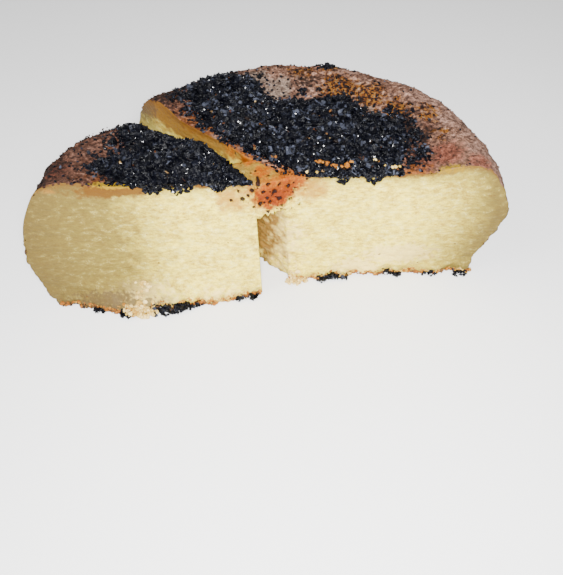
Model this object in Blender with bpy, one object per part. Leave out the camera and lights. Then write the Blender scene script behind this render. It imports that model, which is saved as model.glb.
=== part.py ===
"""Half a wheel of wine-aged pecorino: one large slice and one wedge, with grape marc on top.

Each slice is one closed body with a rounded rim, a low bead round its top and a crumbling foot. The
crumbs and clumps that stick to a slice are fused to it. The marc is one body on each slice.
Metres, +Z up. The cut faces look along -Y, and the origin lies under the middle of the whole.
"""

import math
import random
from dataclasses import dataclass

import bmesh
import bpy
from mathutils import Matrix, Vector, noise

# Every size below is in millimetres and every angle in degrees. MM turns a finished mesh to metres.
MM = 0.001

# The wheel: the widest radius, and the outline of the top, which both slices share
WHEEL_RADIUS = 100.0
TOP_OUTLINE = (  # share of the shoulder's radius, height
    (0.0, 64.6), (0.55, 64.3), (0.70, 65.2), (0.82, 67.6), (0.90, 67.5), (0.96, 65.6), (1.0, 62.0),
)
SHOULDER_HEIGHT = 62.0

# The grid of each slice: shares of its radius and of its height
RADIUS_STEPS = (
    0, 0.05, 0.11, 0.17, 0.24, 0.31, 0.38, 0.45, 0.52, 0.59, 0.66, 0.72, 0.78, 0.84, 0.90, 0.95, 1,
)
HEIGHT_STEPS = (0, 0.04, 0.10, 0.18, 0.28, 0.39, 0.50, 0.61, 0.72, 0.82, 0.91, 1)
TIP_FADE = 10.0  # no relief where the faces meet at the tip
RISE_RUN = 0.25  # share of the radius in which the rise of a slice's top sets in
SAG_FROM, SAG_RUN = 0.5, 0.4  # share of the radius from which the top sags, and in which it does so
LEAN_HEIGHT = 66.0

# Relief: how far the skin and the cut faces swell in and out, and how wide each swelling is
RIND_LUMP, RIND_LUMP_SIZE = 1.5, 21.0
RIND_GRAIN, RIND_GRAIN_SIZE = 0.9, 6.5
CUT_WAVE, CUT_WAVE_SIZE = 0.9, 26.0
CUT_GRAIN, CUT_GRAIN_SIZE = 0.5, 6.0
FOOT_HEIGHT, FOOT_CRUMBLE, FOOT_CRUMBLE_SIZE = 17.0, 2.4, 5.5
MARC_MARGIN = 7.0  # the top is plain under the marc and this far round it

# The marc: a layer of skins and seeds with larger lumps on it
GAP = 0.4
MARC_CELL = 3.4
MARC_TURN = 33.0
MARC_EDGE = 1.3
MARC_FADE = 6.0  # how far in from its outline the marc reaches its full thickness
MARC_THICK_REACH, MARC_THIN_RUN = 42.0, 28.0  # thick up to this far from the tip, then thinner
MARC_TAIL_REACH, MARC_TAIL_RUN = 60.0, 18.0  # past this it runs out to a tail
MARC_TAIL = 1.8
MARC_LEAST = 0.6
MARC_BUMP, MARC_BUMP_SIZE = 2.2, 6.0
MARC_JITTER = 0.8
MARC_RIM_JITTER = 0.3  # share of the jitter that the edge of the sheet has
MARC_SNAP = 0.75  # how far the edge of the sheet is drawn onto the outline
MARC_LUMP_FLATNESS = 0.55

# The crumbly bridge of stained paste that fills the cut near the tip, between the two slices
BRIDGE_FLOOR = 47.0
BRIDGE_FLOOR_RISE = 9.0  # how much higher its underside is at the back
BRIDGE_UNDER_TOP = 0.3
BRIDGE_TOP_ROUGHNESS = 0.3  # share of the roughness that its top has
BRIDGE_STEPS = 5
BRIDGE_LENGTH = 19.0
BRIDGE_OVERLAP = 5.0
BRIDGE_PROUD = 0.9
BRIDGE_ROUGHNESS, BRIDGE_GRAIN_SIZE = 1.3, 4.5


@dataclass(frozen=True)
class Slice:
    """One slice of the wheel, as an angle at its tip."""

    name: str
    tip: tuple
    cut_angle: float  # direction of the face inside the wheel
    front_angle: float  # direction of the face that looks along -Y
    rim: tuple  # height, share of the widest radius
    roundness: tuple  # share of the way from cut to front face, widest radius as a share of the wheel's
    lean: float  # how far the top stands back from the foot
    columns: int
    foot: tuple  # distance from the tip, how far the foot of the front face stands out
    seed: float
    rise: tuple = (0.0, 0.0)  # how much higher the top is at the cut face and at the front face
    sag: float = 0.0  # how much lower the top is at the far end of the cut face


@dataclass(frozen=True)
class Marc:
    """One layer of marc: its outline on the top, and how thick it is."""

    name: str
    outline: tuple
    front_thickness: float
    cut_thickness: float
    lumps: int
    lump_radius: tuple
    seed: int
    heap: tuple = (0.0, 0.0, 1.0, 0.0)  # place, radius and height of a heap on the layer


MAIN = Slice(
    "cheese_main", (3.8, -0.1), 137.6, -1.4,
    ((0, 0.915), (9, 0.912), (20, 0.945), (31, 0.988), (42, 1.0), (50, 0.965), (57, 0.93), (62, 0.895)),
    ((0, 1.02), (0.12, 0.99), (0.3, 0.99), (0.6, 1.015), (0.85, 1.03), (1, 1.0)), 0.0, 40,
    ((0, 3.6), (12, 2.6), (28, 1.2), (45, 0), (100, 0)), 3.0,
)
WEDGE = Slice(
    "cheese_wedge", (-9.6, -10.5), 139.5, 180.3,
    ((0, 0.945), (8, 0.965), (18, 0.985), (28, 1.0), (38, 0.985), (48, 0.952), (56, 0.91), (62, 0.872)),
    ((0, 0.925), (0.2, 1.0), (0.5, 1.05), (1, 1.075)), 6.5, 13,
    ((0, 0), (12, 2.4), (30, 6), (48, 8.6), (64, 9.4), (78, 6.6), (92, 2), (108, 0)), 8.0, (-0.2, 2.2), 5.0,
)
MAIN_MARC = Marc(
    "marc_main",
    ((14, -0.8), (28, -1.6), (42, -1.8), (51, 1), (55, 11), (58, 24), (52, 36), (43, 40), (34, 54), (17, 52),
     (-3, 56), (-8, 68), (-22, 73), (-34, 69), (-41, 59), (-34, 46), (-26, 33), (-14, 21), (-5, 13), (4, 6)),
    3.0, 4.2, 46, (2.0, 3.6), 11,
)
WEDGE_MARC = Marc(
    "marc_wedge",
    ((-13, -4.6), (-30, -5.2), (-45, -5.2), (-58, -4.4), (-66, 0), (-75, 7), (-76, 13), (-69, 15), (-66, 24),
     (-70, 33), (-71, 41), (-63, 40), (-53, 32.5), (-43, 24.5), (-32, 16), (-21, 7.5)),
    3.6, 8.0, 32, (2.2, 4.0), 12, (-30.0, 9.0, 12.0, 5.5),
)

# Clumps of marc and crumbs of paste at the foot of the front faces: distance from the tip, radius
MAIN_CLUMPS = (
    (3.0, 3.2), (6.5, 2.3), (17.0, 2.7), (22.0, 3.0), (27.0, 2.3), (50.0, 2.7), (54.5, 2.0),
    (71.0, 2.4), (86.0, 2.7),
)
WEDGE_CLUMPS = (
    (5.0, 2.4), (11.0, 2.2), (31.5, 2.2), (36.5, 2.9), (41.5, 3.3), (46.5, 3.9), (51.5, 3.4),
    (56.5, 3.7), (61.0, 4.4), (66.0, 2.7), (80.0, 2.2),
)
CREST_CLUMP = ((28.0, 81.5, 66.2), 3.8)  # on the bead at the back of the large slice
CLUMP_STANDS_OUT = 0.5  # share of a clump's radius between its middle and the face
CLUMP_FLATNESS = 0.7
LUMP_LENGTH, LUMP_WIDTH = (0.85, 1.25), (0.7, 1.0)  # shares of a lump's radius, drawn at random
LUMP_UNEVEN = (0.82, 1.12)
LUMP_TILT = 0.5


def curve_at(points, position):
    """Height of a smooth curve through points given as (position, height)."""
    last = len(points) - 1
    if position <= points[0][0]:
        return points[0][1]
    if position >= points[last][0]:
        return points[last][1]
    k = max(i for i in range(last) if points[i][0] <= position)
    (x0, y0), (x1, y1) = points[k], points[k + 1]
    slope0 = slope_at(points, k)
    slope1 = slope_at(points, k + 1)
    width = x1 - x0
    t = (position - x0) / width
    return (
        (2 * t**3 - 3 * t**2 + 1) * y0
        + (t**3 - 2 * t**2 + t) * width * slope0
        + (3 * t**2 - 2 * t**3) * y1
        + (t**3 - t**2) * width * slope1
    )


def slope_at(points, k):
    """Slope of the smooth curve at point k."""
    before = points[max(k - 1, 0)]
    after = points[min(k + 1, len(points) - 1)]
    return (after[1] - before[1]) / (after[0] - before[0])


def mix(start, end, share):
    """The value at a share of the way from start to end."""
    return start + (end - start) * share


def swell(x, y, z, size, seed):
    """Smooth noise from about -1 to 1, with features of a size."""
    return noise.noise(Vector((x / size + 7.1 * seed, y / size - 3.3 * seed, z / size + seed)))


def smooth_ring(points, steps):
    """Points on a closed smooth curve through a ring of corners."""
    count = len(points)
    ring = []
    for k in range(count):
        p0, p1, p2, p3 = (Vector(points[(k + j) % count]) for j in (-1, 0, 1, 2))
        for step in range(steps):
            t = step / steps
            bend = (2 * p0 - 5 * p1 + 4 * p2 - p3) * t**2 + (3 * p1 - p0 - 3 * p2 + p3) * t**3
            ring.append(0.5 * (2 * p1 + (p2 - p0) * t + bend))
    return ring


def nearest_on_ring(x, y, ring):
    """Nearest point of a ring to a point."""
    point = Vector((x, y))
    nearest = ring[0]
    for k, start in enumerate(ring):
        along = ring[k - 1] - start
        share = max(0.0, min(1.0, (point - start).dot(along) / max(along.length_squared, 1e-9)))
        candidate = start + along * share
        if (point - candidate).length < (point - nearest).length:
            nearest = candidate
    return nearest


def distance_outside(x, y, ring):
    """Distance from a point to a ring, negative inside it."""
    inside = False
    for k, start in enumerate(ring):
        end = ring[k - 1]
        if (start.y > y) == (end.y > y):
            continue
        if x < (end.x - start.x) * (y - start.y) / (end.y - start.y) + start.x:
            inside = not inside
    distance = (Vector((x, y)) - nearest_on_ring(x, y, ring)).length
    return -distance if inside else distance


def top_height(part, x, y):
    """Height of a slice's plain top over a point, before its grain."""
    back = y - part.lean * TOP_OUTLINE[0][1] / LEAN_HEIGHT
    across, along = x - part.tip[0], back - part.tip[1]
    share = front_share(part, math.degrees(math.atan2(along, across)))
    shoulder = widest_radius(part, share) * part.rim[-1][1]
    return plain_top(part, math.hypot(across, along) / shoulder, share)


def plain_top(part, u, share):
    """Height of a slice's plain top at a share of its radius and of the way from cut to front face."""
    sunk = part.sag * (1.0 - share) * max(0.0, min(1.0, (u - SAG_FROM) / SAG_RUN))
    return curve_at(TOP_OUTLINE, u) + mix(*part.rise, share) * min(1.0, u / RISE_RUN) - sunk


def front_share(part, angle):
    """Share of the way from the cut face to the front face at an angle."""
    turned = (angle - part.cut_angle + 180.0) % 360.0 - 180.0
    return max(0.0, min(1.0, turned / (part.front_angle - part.cut_angle)))


def widest_radius(part, share):
    """Widest radius of a slice at a share of the way from cut to front face."""
    return WHEEL_RADIUS * curve_at(part.roundness, share)


def cut_push(part, reach, z, front):
    """How far a cut face stands out from its plane at a distance from the tip and a height."""
    seed = part.seed + front
    foot_fade = max(0.0, 1.0 - z / FOOT_HEIGHT)
    push = CUT_WAVE * swell(reach, 0, z, CUT_WAVE_SIZE, seed)
    push += CUT_GRAIN * swell(reach * 0.5, 0, z, CUT_GRAIN_SIZE, seed)
    push += FOOT_CRUMBLE * foot_fade * swell(reach, 0, z, FOOT_CRUMBLE_SIZE, seed)
    push *= min(1.0, reach / TIP_FADE)
    if front:
        push += foot_fade**2 * curve_at(part.foot, reach)
    return push


def on_slice(part, angle, reach, z, push, front):
    """Place of a point of a slice in the frame, with the push off a cut face and the slice's lean."""
    inward = 1.0 if part.front_angle > part.cut_angle else -1.0
    normal = angle + math.radians(90.0) * (inward if front else -inward)
    x = part.tip[0] + reach * math.cos(angle) + push * math.cos(normal)
    y = part.tip[1] + reach * math.sin(angle) + push * math.sin(normal) + part.lean * z / LEAN_HEIGHT
    return Vector((x, y, z))


def rind_relief(part, place):
    """How far the rind stands out at a place."""
    lump_height = RIND_LUMP * swell(*place, RIND_LUMP_SIZE, part.seed)
    return lump_height + RIND_GRAIN * swell(*place, RIND_GRAIN_SIZE, part.seed)


def slice_point(part, ring, u, v, w):
    """Place of a point of the unit block on a slice: u from the tip out, v from cut to front face, w up."""
    angle = math.radians(mix(part.cut_angle, part.front_angle, v))
    reach = u * widest_radius(part, v) * curve_at(part.rim, w * SHOULDER_HEIGHT)
    z = w * plain_top(part, u, v)
    if u == 1:
        reach += rind_relief(part, on_slice(part, angle, reach, z, 0.0, False))
    push = cut_push(part, reach, z, v == 1) if v in (0, 1) else 0.0
    place = on_slice(part, angle, reach, z, push, v == 1)
    if w == 1:
        bare = max(0.0, min(1.0, distance_outside(place.x, place.y, ring) / MARC_MARGIN - 1.0))
        place.z += bare * rind_relief(part, place)
    return place


def unit_block(bm, cuts):
    """Fill bm with a block from 0 to 1 on each axis, cut at the given shares of each axis."""
    bmesh.ops.create_cube(bm, size=1.0, matrix=Matrix.Translation((0.5, 0.5, 0.5)))
    for axis, shares in enumerate(cuts):
        direction = Vector([float(k == axis) for k in range(3)])
        for share in shares[1:-1]:
            everything = bm.verts[:] + bm.edges[:] + bm.faces[:]
            point = direction * share
            bmesh.ops.bisect_plane(bm, geom=everything, dist=1e-6, plane_co=point, plane_no=direction)


def finish_object(name, bm, materials):
    """Turn bm to metres and to a named object."""
    bmesh.ops.transform(bm, matrix=Matrix.Scale(MM, 4), verts=bm.verts[:])
    mesh = bpy.data.meshes.new(name)
    bm.to_mesh(mesh)
    bm.free()
    mesh.shade_smooth()
    for material in materials:
        mesh.materials.append(material)
    item = bpy.data.objects.new(name, mesh)
    bpy.context.scene.collection.objects.link(item)
    return item


def build_slice(part, marc, materials):
    """One slice: a block bent round its tip, with paste on its cut faces and rind on the rest."""
    ring = smooth_ring(marc.outline, 3)
    bm = bmesh.new()
    columns = [k / part.columns for k in range(part.columns + 1)]
    unit_block(bm, (RADIUS_STEPS, columns, HEIGHT_STEPS))
    under = [face for face in bm.faces if all(abs(vert.co.z) < 1e-6 for vert in face.verts)]
    for face in bm.faces:
        sides = {round(vert.co.y, 6) for vert in face.verts}
        face.material_index = 0 if sides in ({0.0}, {1.0}) else 1
    bmesh.ops.dissolve_faces(bm, faces=under, use_verts=False)
    for vert in bm.verts:
        u, v, w = (round(value, 6) for value in vert.co)
        vert.co = slice_point(part, ring, u, v, w)
    bmesh.ops.remove_doubles(bm, verts=bm.verts[:], dist=0.01)
    bmesh.ops.recalc_face_normals(bm, faces=bm.faces[:])
    return finish_object(part.name, bm, materials)


def lump(name, centre, radius, flatness, draw, material):
    """One uneven lump, flattened and turned at random."""
    bm = bmesh.new()
    turn = Matrix.Rotation(draw.uniform(0, math.tau), 4, "Z")
    turn = turn @ Matrix.Rotation(draw.uniform(-LUMP_TILT, LUMP_TILT), 4, "X")
    length, width = radius * draw.uniform(*LUMP_LENGTH), radius * draw.uniform(*LUMP_WIDTH)
    size = Matrix.Diagonal((length, width, radius * flatness, 1.0))
    bmesh.ops.create_icosphere(bm, subdivisions=1, radius=1.0)
    for vert in bm.verts:
        vert.co *= draw.uniform(*LUMP_UNEVEN)
    bmesh.ops.transform(bm, matrix=Matrix.Translation(centre) @ turn @ size, verts=bm.verts[:])
    lowest = min(vert.co.z for vert in bm.verts)
    if lowest < 0:
        bmesh.ops.translate(bm, vec=(0, 0, -lowest), verts=bm.verts[:])
    return finish_object(name, bm, [material])


def build_bridge(material):
    """The block of stained paste between the slices at the tip, open to the front, clear of the wedge."""
    bm = bmesh.new()
    shares = [k / BRIDGE_STEPS for k in range(BRIDGE_STEPS + 1)]
    unit_block(bm, (shares, shares, shares))
    back = Vector((1, 0, 0))
    back.rotate(Matrix.Rotation(math.radians(MAIN.cut_angle), 3, "Z"))
    wedge_lean = WEDGE.lean * mix(BRIDGE_FLOOR, TOP_OUTLINE[0][1], 0.5) / LEAN_HEIGHT
    front_left = Vector((WEDGE.tip[0] - BRIDGE_OVERLAP, WEDGE.tip[1] + wedge_lean - BRIDGE_PROUD, 0))
    front_right = Vector((MAIN.tip[0] + BRIDGE_OVERLAP, MAIN.tip[1] - BRIDGE_PROUD, 0))
    for vert in bm.verts:
        u, v, w = vert.co
        floor = BRIDGE_FLOOR + BRIDGE_FLOOR_RISE * v * v
        place = front_left.lerp(front_right, u) + back * (BRIDGE_LENGTH * v)
        place.z = mix(floor, TOP_OUTLINE[0][1] - BRIDGE_UNDER_TOP, w)
        rough = BRIDGE_ROUGHNESS * swell(place.x, place.y, place.z, BRIDGE_GRAIN_SIZE, 5.0)
        if v == 0:
            place.y += rough
        if w in (0, 1):
            place.z += rough * mix(1.0, BRIDGE_TOP_ROUGHNESS, w)
        vert.co = place
    wedge_back = Vector((1, 0, 0))
    wedge_back.rotate(Matrix.Rotation(math.radians(WEDGE.cut_angle), 3, "Z"))
    leaning_up = Vector((0, WEDGE.lean / LEAN_HEIGHT, 1))
    wedge_face = wedge_back.cross(leaning_up).normalized()
    clear = Vector((WEDGE.tip[0], WEDGE.tip[1], 0)) + wedge_face * (GAP + 0.5 * (CUT_WAVE + CUT_GRAIN))
    geometry = bm.verts[:] + bm.edges[:] + bm.faces[:]
    cut = bmesh.ops.bisect_plane(bm, geom=geometry, plane_co=clear, plane_no=wedge_face, clear_inner=True)
    edges = [item for item in cut["geom_cut"] if isinstance(item, bmesh.types.BMEdge)]
    bmesh.ops.contextual_create(bm, geom=edges)
    bmesh.ops.recalc_face_normals(bm, faces=bm.faces[:])
    return finish_object("bridge", bm, [material])


def keep_largest(bm):
    """Delete every patch of faces but the largest, which also fills sealed hollows."""
    left = set(bm.faces)
    patches = []
    while left:
        todo = [left.pop()]
        patch = set(todo)
        while todo:
            face = todo.pop()
            for edge in face.edges:
                for other in edge.link_faces:
                    if other in left:
                        left.discard(other)
                        patch.add(other)
                        todo.append(other)
        patches.append(patch)
    patches.sort(key=len)
    for patch in patches[:-1]:
        bmesh.ops.delete(bm, geom=list(patch), context="FACES")


def fuse(target, pieces):
    """Join pieces to the target as one closed body, and remove them."""
    helpers = bpy.data.collections.new("helpers")
    bpy.context.scene.collection.children.link(helpers)
    for piece in pieces:
        bpy.context.scene.collection.objects.unlink(piece)
        helpers.objects.link(piece)
    union = target.modifiers.new("union", "BOOLEAN")
    union.operation = "UNION"
    union.operand_type = "COLLECTION"
    union.collection = helpers
    union.solver = "MANIFOLD"
    bpy.context.view_layer.update()
    plain = target.data
    name = plain.name
    fused = bpy.data.meshes.new_from_object(target.evaluated_get(bpy.context.evaluated_depsgraph_get()))
    target.modifiers.clear()
    bm = bmesh.new()
    bm.from_mesh(fused)
    keep_largest(bm)
    bm.to_mesh(fused)
    bm.free()
    target.data = fused
    bpy.data.meshes.remove(plain)
    fused.name = name
    for piece in pieces:
        bpy.data.meshes.remove(piece.data)
    bpy.data.collections.remove(helpers)
    return target


def loose_corners(bm):
    """Faces that meet the rest of a flat grid only at a corner."""
    found = set()
    for vert in bm.verts:
        faces = vert.link_faces
        if len(faces) == 2 and not set(faces[0].edges) & set(faces[1].edges):
            found.add(faces[0])
    return list(found)


def marc_sheet(bm, ring):
    """Fill bm with a flat grid inside a ring."""
    low_x, high_x = min(p.x for p in ring), max(p.x for p in ring)
    low_y, high_y = min(p.y for p in ring), max(p.y for p in ring)
    middle = Vector(((low_x + high_x) / 2, (low_y + high_y) / 2, 0))
    half = 0.5 * math.hypot(high_x - low_x, high_y - low_y)
    steps = round(2 * half / MARC_CELL)
    place = Matrix.Translation(middle) @ Matrix.Rotation(math.radians(MARC_TURN), 4, "Z")
    bmesh.ops.create_grid(bm, x_segments=steps, y_segments=steps, size=half, matrix=place)
    outside = []
    for face in bm.faces:
        centre = face.calc_center_median()
        if distance_outside(centre.x, centre.y, ring) > 0:
            outside.append(face)
    bmesh.ops.delete(bm, geom=outside, context="FACES")
    keep_largest(bm)
    loose = loose_corners(bm)
    while loose:
        bmesh.ops.delete(bm, geom=loose, context="FACES")
        keep_largest(bm)
        loose = loose_corners(bm)


def marc_thickness(marc, part, x, y, depth):
    """How thick the marc is over a point that lies a depth inside its outline, before its jitter."""
    from_tip = Vector((x - part.tip[0], y - part.tip[1] - part.lean))
    reach = from_tip.length
    share = front_share(part, math.degrees(math.atan2(from_tip.y, from_tip.x)))
    thin_out = max(0.0, min(1.0, (reach - MARC_THICK_REACH) / MARC_THIN_RUN))
    tail = max(0.0, min(1.0, (reach - MARC_TAIL_REACH) / MARC_TAIL_RUN))
    thickness = mix(marc.cut_thickness, marc.front_thickness, max(share, thin_out))
    thickness = mix(thickness, MARC_TAIL, tail)
    fade = max(0.0, min(1.0, depth / MARC_FADE))
    heap_x, heap_y, radius, height = marc.heap
    thickness += height * math.exp(-((x - heap_x) ** 2 + (y - heap_y) ** 2) / radius**2)
    bumps = MARC_BUMP * swell(x, y, 0, MARC_BUMP_SIZE, marc.seed) * (1.0 - tail)
    return MARC_EDGE + fade * (thickness - MARC_EDGE + bumps)


def build_marc(marc, part, material):
    """One layer of marc on a slice: a bumpy sheet with larger lumps fused to it."""
    draw = random.Random(marc.seed)
    ring = smooth_ring(marc.outline, 3)
    bm = bmesh.new()
    marc_sheet(bm, ring)
    extruded = bmesh.ops.extrude_face_region(bm, geom=bm.faces[:], use_keep_orig=True)
    crust = [item for item in extruded["geom"] if isinstance(item, bmesh.types.BMVert)]
    crust_set = set(crust)
    rim = {vert for vert in crust if any(edge.other_vert(vert) not in crust_set for edge in vert.link_edges)}
    under = {(round(v.co.x, 4), round(v.co.y, 4)): v for v in bm.verts if v not in crust_set}
    for vert in crust:
        below = under[(round(vert.co.x, 4), round(vert.co.y, 4))]
        depth = -distance_outside(vert.co.x, vert.co.y, ring)
        shift = Vector((draw.uniform(-1, 1), draw.uniform(-1, 1), 0)) * MARC_JITTER
        if vert in rim:
            shift += (nearest_on_ring(vert.co.x, vert.co.y, ring).to_3d() - vert.co) * MARC_SNAP
        below.co += shift
        vert.co += shift
        floor = top_height(part, vert.co.x, vert.co.y) + GAP
        high = marc_thickness(marc, part, vert.co.x, vert.co.y, depth)
        high += draw.uniform(-MARC_JITTER, MARC_JITTER) * (MARC_RIM_JITTER if vert in rim else 1.0)
        below.co.z = floor
        vert.co.z = floor + max(MARC_LEAST, high)
    bmesh.ops.recalc_face_normals(bm, faces=bm.faces[:])
    tip = Vector((part.tip[0], part.tip[1] + part.lean))
    inner = [vert for vert in crust if vert not in rim and (vert.co.xy - tip).length < MARC_TAIL_REACH]
    spots = sorted((tuple(vert.co) for vert in inner), key=lambda spot: (spot[0], spot[1]))
    layer = finish_object(marc.name, bm, [material])
    lumps = []
    for k, spot in enumerate(draw.sample(spots, marc.lumps)):
        radius = draw.uniform(*marc.lump_radius)
        lumps.append(lump(f"lump_{k}", Vector(spot), radius, MARC_LUMP_FLATNESS, draw, material))
    return fuse(layer, lumps)


def clumps(part, places, draw, material):
    """Small clumps that lie on the ground against the foot of a slice's front face."""
    made = []
    for k, (reach, radius) in enumerate(places):
        height = radius * CLUMP_FLATNESS
        push = cut_push(part, reach, height, True) + CLUMP_STANDS_OUT * radius
        centre = on_slice(part, math.radians(part.front_angle), reach, height, push, True)
        made.append(lump(f"clump_{k}", centre, radius, CLUMP_FLATNESS, draw, material))
    return made


def plain_material(name, colour, roughness):
    """A Principled material of one colour."""
    material = bpy.data.materials.new(name)
    material.use_nodes = True
    shader = material.node_tree.nodes["Principled BSDF"]
    shader.inputs["Base Color"].default_value = (*colour, 1.0)
    shader.inputs["Roughness"].default_value = roughness
    shader.inputs["Metallic"].default_value = 0.0
    material.diffuse_color = (*colour, 1.0)
    return material


def stand_on_origin(items):
    """Move every mesh so that the middle of the whole's underside is the origin."""
    corners = [vert.co for item in items for vert in item.data.vertices]
    low = [min(corner[axis] for corner in corners) for axis in range(3)]
    high = [max(corner[axis] for corner in corners) for axis in range(3)]
    shift = Vector((-(low[0] + high[0]) / 2, -(low[1] + high[1]) / 2, -low[2]))
    for item in items:
        item.data.transform(Matrix.Translation(shift))
        item.data.update()


def main():
    """Build every piece of the part in an empty scene."""
    for item in list(bpy.data.objects):
        bpy.data.objects.remove(item, do_unlink=True)
    draw = random.Random(7)
    paste = plain_material("paste", (0.80, 0.66, 0.38), 0.6)
    rind = plain_material("rind", (0.22, 0.12, 0.10), 0.8)
    marc = plain_material("marc", (0.012, 0.012, 0.018), 0.35)
    main_slice = build_slice(MAIN, MAIN_MARC, [paste, rind])
    wedge = build_slice(WEDGE, WEDGE_MARC, [paste, rind])
    crest = lump("crest", Vector(CREST_CLUMP[0]), CREST_CLUMP[1], CLUMP_FLATNESS, draw, marc)
    fuse(main_slice, [build_bridge(paste), crest] + clumps(MAIN, MAIN_CLUMPS, draw, marc))
    fuse(wedge, clumps(WEDGE, WEDGE_CLUMPS, draw, marc))
    layers = [build_marc(MAIN_MARC, MAIN, marc), build_marc(WEDGE_MARC, WEDGE, marc)]
    stand_on_origin([main_slice, wedge] + layers)


main()
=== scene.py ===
"""The looks of half a wheel of wine-aged pecorino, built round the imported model.

Each slice is a dense closed body in the form of its solid, with paste on its cut faces and rind on the
rest. The grape marc on top is a dark crust under many loose skins, grains, seeds and stems, and clumps of
it stick to the foot. Shapes are built in millimetres round the middle of the wheel, with its top up. They
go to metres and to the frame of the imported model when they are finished.
"""

import logging
import math
import random
from dataclasses import dataclass, field
from enum import Enum

import bmesh
import bpy
import numpy as np
from mathutils import Matrix, Vector, noise


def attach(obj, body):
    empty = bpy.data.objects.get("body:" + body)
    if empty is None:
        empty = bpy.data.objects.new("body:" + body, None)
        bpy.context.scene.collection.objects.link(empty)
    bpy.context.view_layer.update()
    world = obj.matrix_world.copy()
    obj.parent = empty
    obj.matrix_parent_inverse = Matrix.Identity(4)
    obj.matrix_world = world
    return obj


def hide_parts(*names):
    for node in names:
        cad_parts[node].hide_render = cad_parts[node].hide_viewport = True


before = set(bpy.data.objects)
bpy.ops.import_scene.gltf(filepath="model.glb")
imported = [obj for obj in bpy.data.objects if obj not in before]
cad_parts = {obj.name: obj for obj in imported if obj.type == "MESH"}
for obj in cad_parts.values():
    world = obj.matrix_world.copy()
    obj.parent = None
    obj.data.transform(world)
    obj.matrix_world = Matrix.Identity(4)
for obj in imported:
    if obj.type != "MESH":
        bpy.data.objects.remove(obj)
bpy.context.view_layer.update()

LOG = logging.getLogger("pecorino")
BODY = "root"

# From the middle of the wheel, in millimetres, to the frame, in metres
MM = 0.001
TO_FRAME = Vector((6.338, -38.412, 0.0))

# The wheel and the outline of its top, which both slices share
WHEEL_RADIUS = 100.0
TOP_POINTS = (
    (0.0, 64.6), (0.55, 64.3), (0.70, 65.2), (0.82, 67.6), (0.90, 67.5), (0.96, 65.6), (1.0, 62.0),
)
SHOULDER_HEIGHT = 62.0
LEAN_HEIGHT = 66.0
TIP_FADE = 10.0
RISE_RUN = 0.25
SAG_FROM, SAG_RUN = 0.5, 0.4

# Where loose things stop: share of the shoulder's radius, and distance beyond a cut face
SHOULDER_CLEAR, EDGE_CLEAR = 0.97, 0.2
UP = Vector((0, 0, 1))
MARC_TINTS = 0.88

# Relief that the solids have: height and width of each swelling
RIND_LUMP, RIND_LUMP_SIZE = 1.5, 21.0
RIND_GRAIN, RIND_GRAIN_SIZE = 0.9, 6.5
CUT_WAVE, CUT_WAVE_SIZE = 0.9, 26.0
CUT_GRAIN, CUT_GRAIN_SIZE = 0.5, 6.0
FOOT_HEIGHT, FOOT_CRUMBLE, FOOT_CRUMBLE_SIZE = 17.0, 2.4, 5.5
MARC_MARGIN = 7.0

# Finer relief, which only the scene has
STREAK, STREAK_SIZE, STREAK_STRETCH = 0.15, 1.1, 0.35
TEAR, TEAR_SIZE = 0.20, 3.4
FLAKE, FLAKE_SIZE = 0.75, 2.6
RAGGED_HEIGHT, RAGGED, RAGGED_SIZE = 5.0, 1.3, 1.8
CURL, CURL_SIZE = 0.40, 2.9
FUZZ, FUZZ_SIZE = 0.24, 1.4
FOLD, FOLD_SIZE = 0.7, 8.0

# Pits in the stained paste near the tips, seen from the front, as x and z, and the dark spots in them,
# painted shade inside the pits
PIT_DEPTH, PIT_RADIUS = 1.3, 0.8
PIT_FRONT, PIT_SPOT, PIT_VARIETY, PIT_DARKNESS, PIT_STRETCH = -4.0, 1.0, 0.1, 1.9, (1.0, 6.0, 1.0)
PITS = (
    (-16.6, 61.0), (-15.0, 57.0), (-10.7, 61.4), (-8.0, 64.0), (-6.0, 59.5), (-4.4, 56.0), (-4.4, 48.7),
    (-3.3, 53.4), (3.4, 57.2), (4.7, 60.0), (5.5, 52.0), (9.8, 48.6), (-3.6, 63.3), (1.0, 62.0),
    (12.0, 56.0), (-20.0, 56.5), (-12.5, 58.6), (-1.2, 58.8), (0.8, 54.6), (7.6, 57.4), (-7.6, 53.0),
    (1.6, 50.2),
)


class Tone(Enum):
    """What a patch brings out on the cheese, as the name of its vertex attribute."""

    STAIN = "stain"
    BAND = "band"
    YELLOW = "yellow"
    GOLD = "gold"
    PINK = "pink"
    # Painted shade: the paste darker towards the ends of the slices, away from the light
    PAINTED_SHADE = "painted_shade"
    FLAKY = "flaky"
    OCHRE = "ochre"
    MOULD = "mould"
    GREY = "grey"
    RED = "red"
    DARK = "dark"
    CRACK = "crack"
    PIT = "pit"
    # Painted shade on the rind, away from the light
    PAINTED_RIND_SHADE = "rind_shade"
    FOOT = "foot"


def clamp(value: float) -> float:
    """The value held between 0 and 1."""
    return max(0.0, min(1.0, value))


def mix(start: float, end: float, share: float) -> float:
    """The value at a share of the way from start to end."""
    return start + (end - start) * share


def pick(draw: random.Random, low: float, high: float, power: float = 1.0) -> float:
    """A random value between two, nearer to the lower one more often where the power is above 1."""
    return mix(low, high, draw.random() ** power)


def swell(x: float, y: float, z: float, size: float, seed: float) -> float:
    """Smooth noise from about -1 to 1, with features of a size."""
    return noise.noise(Vector((x / size + 7.1 * seed, y / size - 3.3 * seed, z / size + seed)))


def ridge(x: float, y: float, z: float, size: float, seed: float) -> float:
    """Noise from 0 to 1 with sharp crests, with features of a size."""
    return 1.0 - min(1.0, 2.2 * abs(swell(x, y, z, size, seed)))


def pitted(x: float, z: float) -> float:
    """How deep the pits of the stained paste are at a place on the front."""
    nearest = min(math.hypot(x - pit_x, z - pit_z) for pit_x, pit_z in PITS)
    return PIT_DEPTH * math.exp(-((nearest / PIT_RADIUS) ** 2))


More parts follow.
